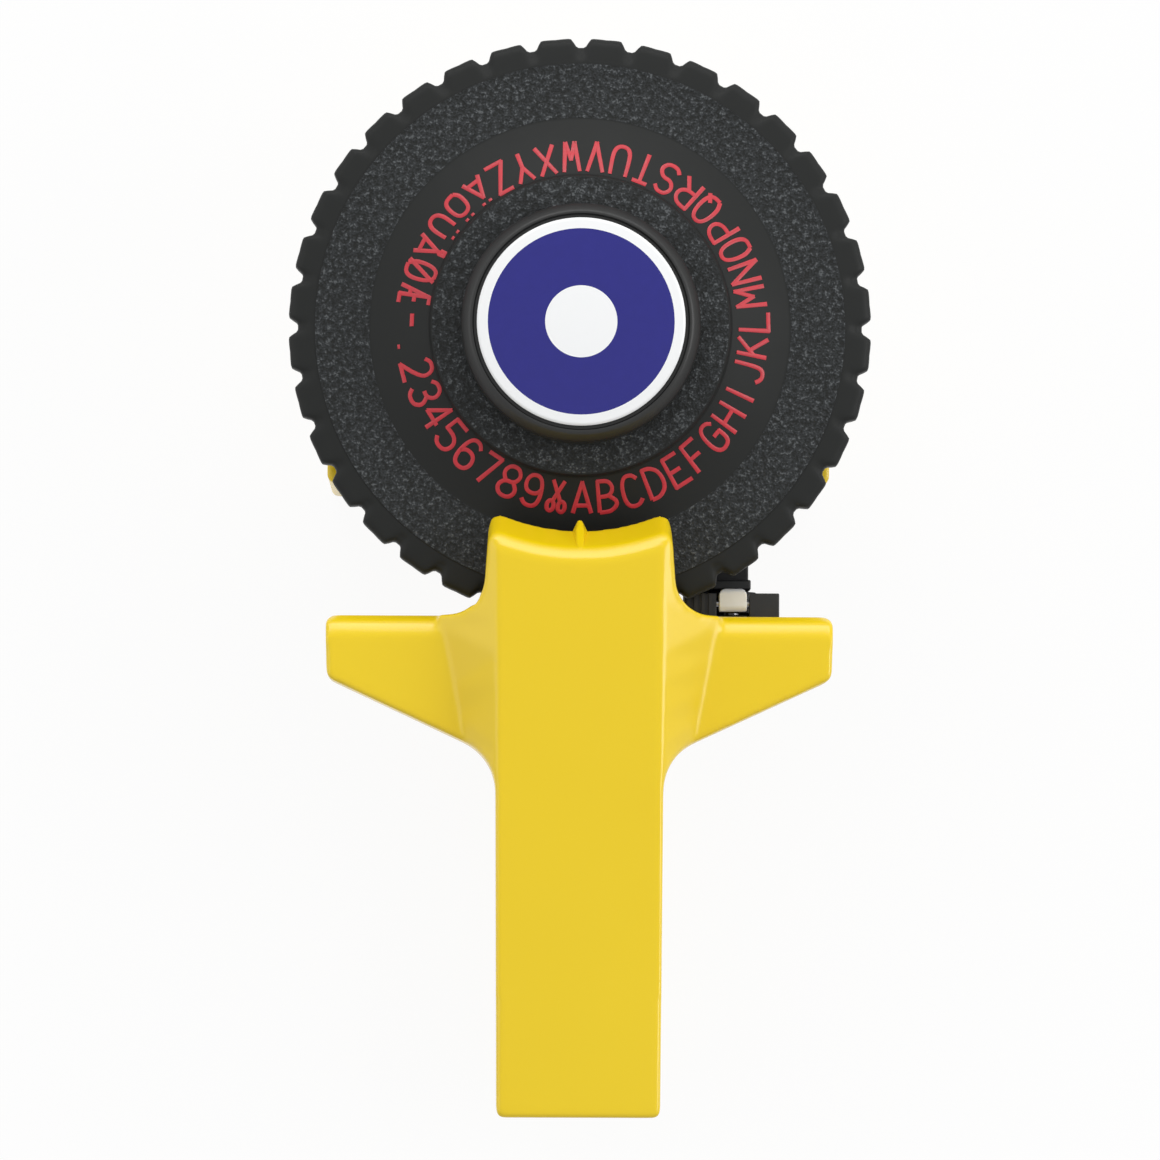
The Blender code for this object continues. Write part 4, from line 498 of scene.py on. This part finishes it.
hub_black = Finish("hub_black", (0.012, 0.0125, 0.0125), 0.34, Specular_IOR_Level=0.4)
hub_cloud = hub_black.noise(140)
hub_black.give("Base Color", hub_black.mix(hub_cloud, (0.010, 0.0105, 0.0105), (0.016, 0.0165, 0.016)))
hub_black.give("Roughness", 0.34 + hub_cloud * 0.14)
hub_black.bump(hub_black.noise(2600, 2), 0.10, 0.00006)
hub = spun("hub_cap_turned", [
    (0, HUB_RECESS), (0.0137, HUB_RECESS), (0.0138, 0.0506), (0.0138, 0.05085), (0.01388, 0.05097),
    (0.0140, HUB_TOP), (0.01425, 0.05094), (0.0145, 0.05068), (0.01515, 0.0497), (0.01528, 0.0494),
    (0.0153, 0.0490), (0.0153, 0.0462), (0.0151, HUB_FOOT), (0.0107, HUB_FOOT), (0.0107, HUB_SNAP_LOW),
    (0.0096, HUB_SNAP_LOW), (0.0096, HUB_CEILING), (0, HUB_CEILING)], ROUND_STEPS)
placed(hub, "dial", hub_black, "black_plastic", "hub_cap")

enamel = Finish("badge_enamel", (0.86, 0.87, 0.88), 0.22)
across = enamel.radius(AXIS)
ringed = (across < BLUE_OUTER) * (across > BLUE_INNER)
print_cloud = enamel.noise(700, 2)
blue = enamel.mix(print_cloud, (0.005, 0.005, 0.180), (0.008, 0.008, 0.200))
enamel.give("Base Color", enamel.mix(ringed, (0.89, 0.90, 0.905), blue))
enamel.give("Roughness", 0.20 + print_cloud * 0.08)
badge = spun("badge_disc", [(0, BADGE_TOP), (0.0129, BADGE_TOP), (0.01315, 0.05115), (BADGE_RADIUS, 0.0510),
                            (BADGE_RADIUS, BADGE_LOW), (0, BADGE_LOW)], ROUND_STEPS)
placed(badge, "dial", enamel, "white_plastic", "hub_badge")

# Lever yoke.
# A bent and plated steel part: two arms reach round the dies to the pin, and a plate joins them under the
# lever, where two screws hold it.
yoke = copied("lever_yoke", "lever_yoke_plated")
smoothed(yoke, grain=0.00025, passes=2, kept_share=0.18)
placed(yoke, "lever", steel, "bright_steel", "lever_yoke")
dress(steel, "yoke_screw_1", "yoke_screw_2")

# Squeeze lever.
# One thin-walled moulding in glossy yellow plastic. Its nose reaches over the dial's rim, ramps rise from
# its wings to the raised spine, and the spine runs on as the upper grip. It is open underneath.
LEVER_TOP = 0.0517
NOSE_LOW = 0.0459
WING_TOP = 0.0462
WING_LOW = 0.0385
GRIP_LOW = 0.0415
LEVER_WALL = 0.0018
LEVER_WELD = 0.00002
RAMP_TOP_X = 0.0105
RAMP_FRONT = -0.0150
RAMP_FOOT_FRONT = 0.0226
RAMP_FOOT_REAR = 0.0129
RAMP_LENGTH = 0.0470
RAMP_ROWS = 12
WING_BEYOND_X = 0.0400
WING_ROUND = 0.0026
WING_ROUND_SHARE = 0.3
WING_ROUND_X = 0.0180
WING_ROUND_LENGTH = 0.0200
WING_FRONT = -0.0372
NOSE_FRONT_LOW = 0.0263
NOSE_FRONT_TOP = 0.0293
NOSE_FRONT_RUN = 0.0030
RIDGE_RADIUS = 0.0305
RIDGE_DROP = 0.0010
RIDGE_WIDTH = 0.0018
RIDGE_SPARE = 0.0006
TIP_X = 0.0116
TIP_Y = -0.0237
TIP_SPARE = 0.0012
DIAL_ROOM_RADIUS = 0.0383
GUIDE_ROOM_LEFT = 0.0133
GUIDE_ROOM_RIGHT = 0.0181
GUIDE_ROOM_LOW = 0.03
BEYOND = 0.004


def rounded(corners, steps=8):
    """Points through corners (x, y, radius), each corner turned on its radius."""
    path = []
    for number, (x, y, radius) in enumerate(corners):
        here = Vector((x, y))
        before = (Vector(corners[number - 1][:2]) - here).normalized()
        after = (Vector(corners[(number + 1) % len(corners)][:2]) - here).normalized()
        if radius == 0:
            path.append(here)
            continue
        half = before.angle(after) / 2
        centre = here + (before + after).normalized() * (radius / math.sin(half))
        start = here + before * (radius / math.tan(half)) - centre
        end = here + after * (radius / math.tan(half)) - centre
        sweep = start.angle_signed(end)
        path += [centre + Matrix.Rotation(-sweep * step / steps, 2) @ start for step in range(steps + 1)]
    return path


def prism(name, points, reach, rows=1):
    """A flat outline made a face and drawn out along reach, in so many rows."""
    piece = drawn(name, points)
    bpy.ops.mesh.edge_face_add()
    for row in range(rows):
        bpy.ops.mesh.extrude_region_move(TRANSFORM_OT_translate={"value": Vector(reach) / rows})
    return closed(piece)


def carve(piece, tool, operation="DIFFERENCE"):
    """Cut a tool out of a piece, or keep only what lies inside the tool, and throw the tool away."""
    apply(piece, "BOOLEAN", operation=operation, object=tool, solver="EXACT")
    bpy.data.objects.remove(tool, do_unlink=True)


def cone(name, radius, low, high, top_radius):
    """A round tool on the dial's axis."""
    bpy.ops.object.select_all(action="DESELECT")
    bpy.ops.mesh.primitive_cone_add(vertices=ROUND_STEPS, radius1=radius, radius2=top_radius,
                                    depth=high - low, location=(AXIS.x, AXIS.y, (low + high) / 2))
    made = bpy.context.active_object
    made.name = name
    bpy.ops.object.transform_apply(location=True, rotation=True, scale=True)
    return made


half_plan = [(0.0112, -0.0190, 0), (0.0124, WING_FRONT, 0.0046), (0.0325, WING_FRONT, 0.0012),
             (0.0323, -0.0453, 0.0014), (0.0107, -0.0553, 0.0072), (0.0104, -0.1012, 0.0008)]
plan = rounded([(-x, y, radius) for x, y, radius in half_plan] + half_plan[::-1])
lever = prism("squeeze_lever", [(x, AXIS.y + y, WING_LOW) for x, y in plan], (0, 0, LEVER_TOP - WING_LOW))
under = [(-0.1052, 0.0375), (-0.0507, 0.0375), (-0.0600, GRIP_LOW), (-0.1052, GRIP_LOW)]
carve(lever, prism("grip_underside", [(-WING_BEYOND_X, AXIS.y + y, z) for y, z in under],
                   (2 * WING_BEYOND_X, 0, 0)))
rise = (LEVER_TOP - WING_TOP) / (RAMP_FOOT_FRONT - RAMP_TOP_X)
for side in (-1, 1):
    over = [(RAMP_TOP_X, LEVER_TOP), (RAMP_FOOT_FRONT, WING_TOP), (WING_BEYOND_X, WING_TOP),
            (WING_BEYOND_X, LEVER_TOP + BEYOND), (RAMP_TOP_X - BEYOND / rise, LEVER_TOP + BEYOND)]
    ramp = prism("ramp_space", [(side * x, AXIS.y + RAMP_FRONT, z) for x, z in over], (0, -RAMP_LENGTH, 0),
                 RAMP_ROWS)
    for vertex in ramp.data.vertices:
        if vertex.co.z < WING_TOP + 0.0001 and abs(vertex.co.x) < RAMP_FOOT_FRONT + BEYOND:
            along = (AXIS.y + RAMP_FRONT - vertex.co.y) / RAMP_LENGTH
            vertex.co.x = side * (RAMP_FOOT_FRONT + (RAMP_FOOT_REAR - RAMP_FOOT_FRONT) * along)
    carve(lever, ramp)
    edge = [(WING_FRONT + 0.0002, WING_TOP - WING_ROUND - 0.0004), (WING_FRONT + 0.0002, WING_TOP + BEYOND),
            (WING_FRONT - WING_ROUND, WING_TOP + BEYOND), (WING_FRONT - WING_ROUND, WING_TOP),
            (WING_FRONT - WING_ROUND * WING_ROUND_SHARE, WING_TOP - WING_ROUND * WING_ROUND_SHARE)]
    carve(lever, prism("wing_front_round", [(side * WING_ROUND_X, AXIS.y + y, z) for y, z in edge],
                       (side * WING_ROUND_LENGTH, 0, 0)))
slope = NOSE_FRONT_RUN / (LEVER_TOP - NOSE_LOW)
carve(lever, cone("nose_front", NOSE_FRONT_LOW - slope * BEYOND, NOSE_LOW - BEYOND, LEVER_TOP + BEYOND,
                  NOSE_FRONT_TOP + slope * BEYOND))
ridge_slope = RIDGE_WIDTH / RIDGE_DROP
carve(lever, cone("ridge_round", RIDGE_RADIUS - ridge_slope * (RIDGE_DROP + RIDGE_SPARE),
                  LEVER_TOP - RIDGE_DROP - RIDGE_SPARE, LEVER_TOP + BEYOND,
                  RIDGE_RADIUS + ridge_slope * BEYOND))
for side in (-1, 1):
    tip = [(0.0003, -0.0021), (0, -0.00157), (-0.00013, -0.00108), (-0.00046, -0.00073), (-0.00094, -0.00056),
           (-0.0018, -0.0005), (-0.0018, 0.0040), (0.0011, 0.0040), (0.0011, -0.0021)]
    tip_foot = [(side * (TIP_X + x), AXIS.y + TIP_Y + y, NOSE_LOW - 0.0002) for x, y in tip]
    carve(lever, prism("tip_round", tip_foot, (0, -slope * (LEVER_TOP - NOSE_LOW + TIP_SPARE),
                                               LEVER_TOP - NOSE_LOW + TIP_SPARE)))
carve(lever, cone("dial_room", DIAL_ROOM_RADIUS, 0, NOSE_LOW, DIAL_ROOM_RADIUS))
carve(lever, prism("guide_room", [(x, AXIS.y + y, GUIDE_ROOM_LOW) for x, y in
                                  ((GUIDE_ROOM_LEFT, WING_FRONT), (GUIDE_ROOM_RIGHT, WING_FRONT),
                                   (GUIDE_ROOM_RIGHT, 0), (GUIDE_ROOM_LEFT, 0))],
                   (0, 0, NOSE_LOW - GUIDE_ROOM_LOW)))
only(lever)
bpy.ops.object.mode_set(mode="EDIT")
bpy.ops.mesh.select_mode(type="FACE")
bpy.ops.mesh.select_all(action="DESELECT")
shell = bmesh.from_edit_mesh(lever.data)
for face in shell.faces:
    middle = face.calc_center_median()
    in_dial_room = (middle - AXIS).to_2d().length < DIAL_ROOM_RADIUS + 0.0002 and middle.z < NOSE_LOW
    face.select = face.normal.z < -0.3 or in_dial_room
bmesh.update_edit_mesh(lever.data)
bpy.ops.mesh.delete(type="FACE")
bpy.ops.mesh.select_mode(type="VERT")
bpy.ops.mesh.select_all(action="SELECT")
bpy.ops.mesh.remove_doubles(threshold=LEVER_WELD)
bpy.ops.object.mode_set(mode="OBJECT")
apply(lever, "SOLIDIFY", thickness=LEVER_WALL, offset=-1, use_even_offset=True)
smoothed(lever, grain=0.0003, passes=22, kept_share=0.22)
placed(lever, "lever", yellow, "yellow_plastic", "upper_lever")

# Pointer rib and inner bosses.
# All are part of the lever's moulding: the rib on the nose that points at the character in use, two bosses
# for the yoke's screws and one that the return spring's end stands round.
RIB_TIP = -0.0251
RIB_LENGTH = 0.0039
RIB_LOW = 0.0463
RIB_TIP_TOP = 0.0467
RIB_RISE = 0.0042
RIB_TOP_SHARE = 0.5
rib = prism("pointer_rib", [(x, AXIS.y + y, RIB_LOW) for x, y in
                            ((0.0003, RIB_TIP), (0.0010, -0.0265), (0.0009, -0.0290), (-0.0009, -0.0290),
                             (-0.0010, -0.0265), (-0.0003, RIB_TIP))], (0, 0, RIB_RISE))
for vertex in rib.data.vertices:
    if vertex.co.z > RIB_LOW + RIB_RISE / 2:
        reach = (AXIS.y + RIB_TIP - vertex.co.y) / RIB_LENGTH
        vertex.co.x *= RIB_TOP_SHARE
        vertex.co.z = RIB_TIP_TOP + RIB_RISE * reach
smoothed(rib, grain=0.00008, passes=30, kept_share=0.4)
placed(rib, "lever", yellow, "yellow_plastic")
BOSS_TOP = 0.0508
BOSS_FLARE_LOW = 0.0501
BOSS_NECK = 0.0496
BOSS_FLARE = 0.0004
BOSS_EDGE = 0.0002
BOSS_STEPS = 40
for name, x, y, low, radius in (("left_yoke_boss", -0.0055, -0.0424, 0.0460, 0.0026),
                                ("right_yoke_boss", 0.0055, -0.0424, 0.0460, 0.0026),
                                ("spring_boss", 0, -0.0660, 0.0474, 0.0019)):
    boss = spun(name, [(0, BOSS_TOP), (radius + BOSS_FLARE, BOSS_TOP), (radius + BOSS_FLARE, BOSS_FLARE_LOW),
                       (radius, BOSS_NECK), (radius, low + BOSS_EDGE), (radius - BOSS_EDGE, low), (0, low)],
                BOSS_STEPS, AXIS + Vector((x, y, 0)))
    placed(boss, "lever", yellow, "yellow_plastic")

# Press pad.
# A pad of hard black plastic under the lever's nose. It presses the dial and the dies down on the tape.
pad = copied("press_pad", "press_pad_moulding")
smoothed(pad, grain=0.00015, passes=2, kept_share=0.25)
placed(pad, "lever", black, "black_plastic", "press_pad")

# Return spring.
# Drawn steel wire in eight curls that close up at both ends, between the seats in the two grips.
SPRING_Y = AXIS.y - 0.0660
SPRING_LOW = 0.0176
SPRING_HIGH = 0.0493
SPRING_CURLS = 8
SPRING_POINTS = 28
SPRING_RADIUS = 0.0045
SPRING_WIRE = 0.0005
SPRING_CLOSING = 0.55
coil = []
for index in range(SPRING_CURLS * SPRING_POINTS + 1):
    along = index / (SPRING_CURLS * SPRING_POINTS)
    lift = along - SPRING_CLOSING * math.sin(math.tau * along) / math.tau
    turn = math.tau * index / SPRING_POINTS
    coil.append((SPRING_RADIUS * math.cos(turn), SPRING_Y + SPRING_RADIUS * math.sin(turn),
                 SPRING_LOW + (SPRING_HIGH - SPRING_LOW) * lift))
spring = swept("return_spring_wire", [coil], SPRING_WIRE, 4)
bpy.ops.object.mode_set(mode="EDIT")
closed(spring, 60)
placed(spring, "root", spring_steel, "spring_steel", "return_spring")
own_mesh(spring)

# Tape feed.
# A black bracket on the housing carries the feed roller with its ratchet and pawl. The black guide over it
# has ribs beside the white tab, which holds the tape down on the roller.
for node in ("feed_bracket", "tape_guide"):
    moulding = copied(node, node + "_moulding")
    smoothed(moulding, grain=0.00012, passes=2, kept_share=0.16)
    placed(moulding, "root", black, "black_plastic", node)
dress(steel, "bracket_screw_1", "bracket_screw_2", "guide_screw_1", "guide_screw_2", "pressure_pin",
      "feed_axle", "ratchet_wheel")
GUIDE_BAR_TOP = 0.0366
GUIDE_RIBS = 4
GUIDE_RIB_X = 0.0142
GUIDE_RIB_PITCH = 0.00095
GUIDE_RIB_HALF = 0.00025
GUIDE_RIB_REAR = 0.03730
GUIDE_RIB_FRONT = 0.03392
GUIDE_RIB_CORNER = 0.0001
GUIDE_RIB_SUNK = 0.0003
GUIDE_RIB_HEIGHT = 0.0007
for number in range(GUIDE_RIBS):
    left = GUIDE_RIB_X + number * GUIDE_RIB_PITCH - GUIDE_RIB_HALF
    right = GUIDE_RIB_X + number * GUIDE_RIB_PITCH + GUIDE_RIB_HALF
    rib_plan = rounded([(u, AXIS.y - v, GUIDE_RIB_CORNER) for u, v in
                        ((left, GUIDE_RIB_REAR), (right, GUIDE_RIB_REAR),
                         (right, GUIDE_RIB_FRONT), (left, GUIDE_RIB_FRONT))], 3)
    guide_rib = prism("guide_rib_%d" % (number + 1),
                      [(u, v, GUIDE_BAR_TOP - GUIDE_RIB_SUNK) for u, v in rib_plan], (0, 0, GUIDE_RIB_HEIGHT))
    placed(guide_rib, "root", black, "black_plastic")

rubber = Finish("black_feed_rubber", (0.018, 0.018, 0.019), 0.7, Specular_IOR_Level=0.3)
tread = rubber.noise(1200, 3)
rubber.give("Base Color", rubber.mix(tread, (0.014, 0.014, 0.015), (0.026, 0.026, 0.027)))
rubber.bump(tread, 0.3, 0.0001)
dress(rubber, "feed_roller")
dress(black, "feed_pawl")

white = Finish("white_moulded_plastic", (0.80, 0.80, 0.79), 0.32)
white_cloud = white.noise(320, 3)
white.give("Base Color", white.mix(white_cloud.between(0.35, 0.7), (0.86, 0.87, 0.88), (0.91, 0.92, 0.93)))
white.give("Roughness", 0.28 + white_cloud * 0.12)
white.bump(white.noise(1800, 2), 0.06, 0.00004)
tab = copied("pressure_tab", "pressure_tab_moulding")
TAB_LEFT = 0.0181
TAB_RIGHT = 0.0217
TAB_REAR = 0.0378
TAB_FRONT = 0.03326
TAB_ROUND = 0.0009
TAB_LOW = 0.0300
TAB_REACH = 0.0100
tab_plan = rounded([(TAB_LEFT, AXIS.y - TAB_REAR, 0), (TAB_RIGHT, AXIS.y - TAB_REAR, 0),
                    (TAB_RIGHT, AXIS.y - TAB_FRONT, TAB_ROUND), (TAB_LEFT, AXIS.y - TAB_FRONT, TAB_ROUND)])
carve(tab, prism("tab_plan", [(u, v, TAB_LOW) for u, v in tab_plan], (0, 0, TAB_REACH)), "INTERSECT")
smoothed(tab, grain=0.00009, passes=3, kept_share=0.3)
placed(tab, "pressure", white, "white_plastic", "pressure_tab")

# Tape and its core.
# Glossy red embossing tape wound on a white core, which turns on the magazine's spindle.
TAPE_AXIS = AXIS + Vector((0, 0.008, 0))
TAPE_THICKNESS = 0.00018
dress(white, "tape_core")
tape = Finish("glossy_red_tape", (0.55, 0.025, 0.035), 0.25)
wound = tape.radius(TAPE_AXIS) * (math.tau / TAPE_THICKNESS)
layer = tape.node("ShaderNodeMath", {"operation": "SINE"}, {0: wound}).between(-1, 1)
tape.give("Base Color", tape.mix(layer, (0.42, 0.018, 0.026), (0.60, 0.030, 0.042)))
tape.give("Roughness", 0.20 + layer * 0.12)
tape.bump(layer, 0.3, 0.00005)
dress(tape, "tape_roll")

# Magazine cover.
# A round lid of the body's yellow plastic, under the body. It swings on a steel pin at its front edge.
cover = copied("magazine_cover", "magazine_cover_moulding")
smoothed(cover, grain=0.00028, passes=2, kept_share=0.2)
placed(cover, "cover", yellow, "yellow_plastic", "magazine_cover")
dress(steel, "cover_pin")

# Stage.
# A white table under soft studio light from three sides. The camera stands where the photograph's did, nearly
# straight above.
TABLE_GLOW_SHARE = 0.93
FILL_LEVEL = 0.46
SEEN_LEVEL = 1.0
LIT_POINT = Vector((0, 0, 0.03))
AIM = Vector((0.00006, -0.00079, 0.0444))
DISTANCE = 1.0
FRAME_WIDTH = 0.14844
SENSOR_MM = 36
TILT_X = math.radians(-0.81)
TILT_Y = math.radians(-2.9)
ROLL = math.radians(0.26)

bpy.ops.object.select_all(action="DESELECT")
bpy.ops.mesh.primitive_plane_add(size=6, location=(0, 0, 0))
table = bpy.context.active_object
table.name = "table"
paper = Finish("white_table", (0.86, 0.86, 0.86), 0.9)
seen = paper.node("ShaderNodeLightPath", {}, {}, "Is Camera Ray")
mirrored_ray = paper.node("ShaderNodeLightPath", {}, {}, "Is Glossy Ray")
glow = paper.node("ShaderNodeEmission", {}, {"Color": (1, 1, 1, 1), "Strength": 1})
blended = paper.node("ShaderNodeMixShader", {}, {0: (seen + mirrored_ray).between(0, 1) * TABLE_GLOW_SHARE,
                                                 1: Signal(paper, paper.shader.outputs[0]), 2: glow})
paper.tree.links.new(blended.socket, paper.tree.nodes["Material Output"].inputs["Surface"])
table.data.materials.append(paper.material)

world = bpy.data.worlds.new("studio")
bpy.context.scene.world = world
studio = Shading(world)
either = studio.node("ShaderNodeMath", {"operation": "MAXIMUM"},
                     {0: studio.node("ShaderNodeLightPath", {}, {}, "Is Camera Ray"),
                      1: studio.node("ShaderNodeLightPath", {}, {}, "Is Glossy Ray")})
level = studio.node("ShaderNodeMapRange", {}, {"Value": either, "To Min": FILL_LEVEL, "To Max": SEEN_LEVEL})
background = studio.tree.nodes["Background"]
background.inputs["Color"].default_value = (1, 1, 1, 1)
studio.tree.links.new(level.socket, background.inputs["Strength"])
for name, place, size, power in (("rear_softbox", (0, 0.80, 0.58), (1.2, 0.35), 5.6),
                                 ("right_softbox", (0.84, 0.10, 0.54), (0.5, 0.5), 3.7),
                                 ("left_softbox", (-0.80, 0.10, 0.50), (0.7, 0.7), 1.7)):
    lamp = bpy.data.lights.new(name, "AREA")
    lamp.shape = "RECTANGLE"
    lamp.size, lamp.size_y = size
    lamp.energy = power
    hung = bpy.data.objects.new(name, lamp)
    hung.location = place
    hung.rotation_euler = (LIT_POINT - Vector(place)).to_track_quat("-Z", "Y").to_euler()
    bpy.context.scene.collection.objects.link(hung)

lens = bpy.data.cameras.new("photo_camera")
lens.sensor_width = SENSOR_MM
lens.lens = SENSOR_MM * DISTANCE / FRAME_WIDTH
camera = bpy.data.objects.new("photo_camera", lens)
back = Vector((math.sin(TILT_X), math.sin(TILT_Y), 1)).normalized()
right = Vector((math.cos(ROLL), math.sin(ROLL), 0)).cross(back).cross(back).normalized() * -1
turned = Matrix((right, back.cross(right), back)).transposed().to_4x4()
camera.matrix_world = Matrix.Translation(AIM + DISTANCE * back) @ turned
bpy.context.scene.collection.objects.link(camera)
bpy.context.scene.camera = camera
bpy.context.scene.view_settings.view_transform = "Standard"
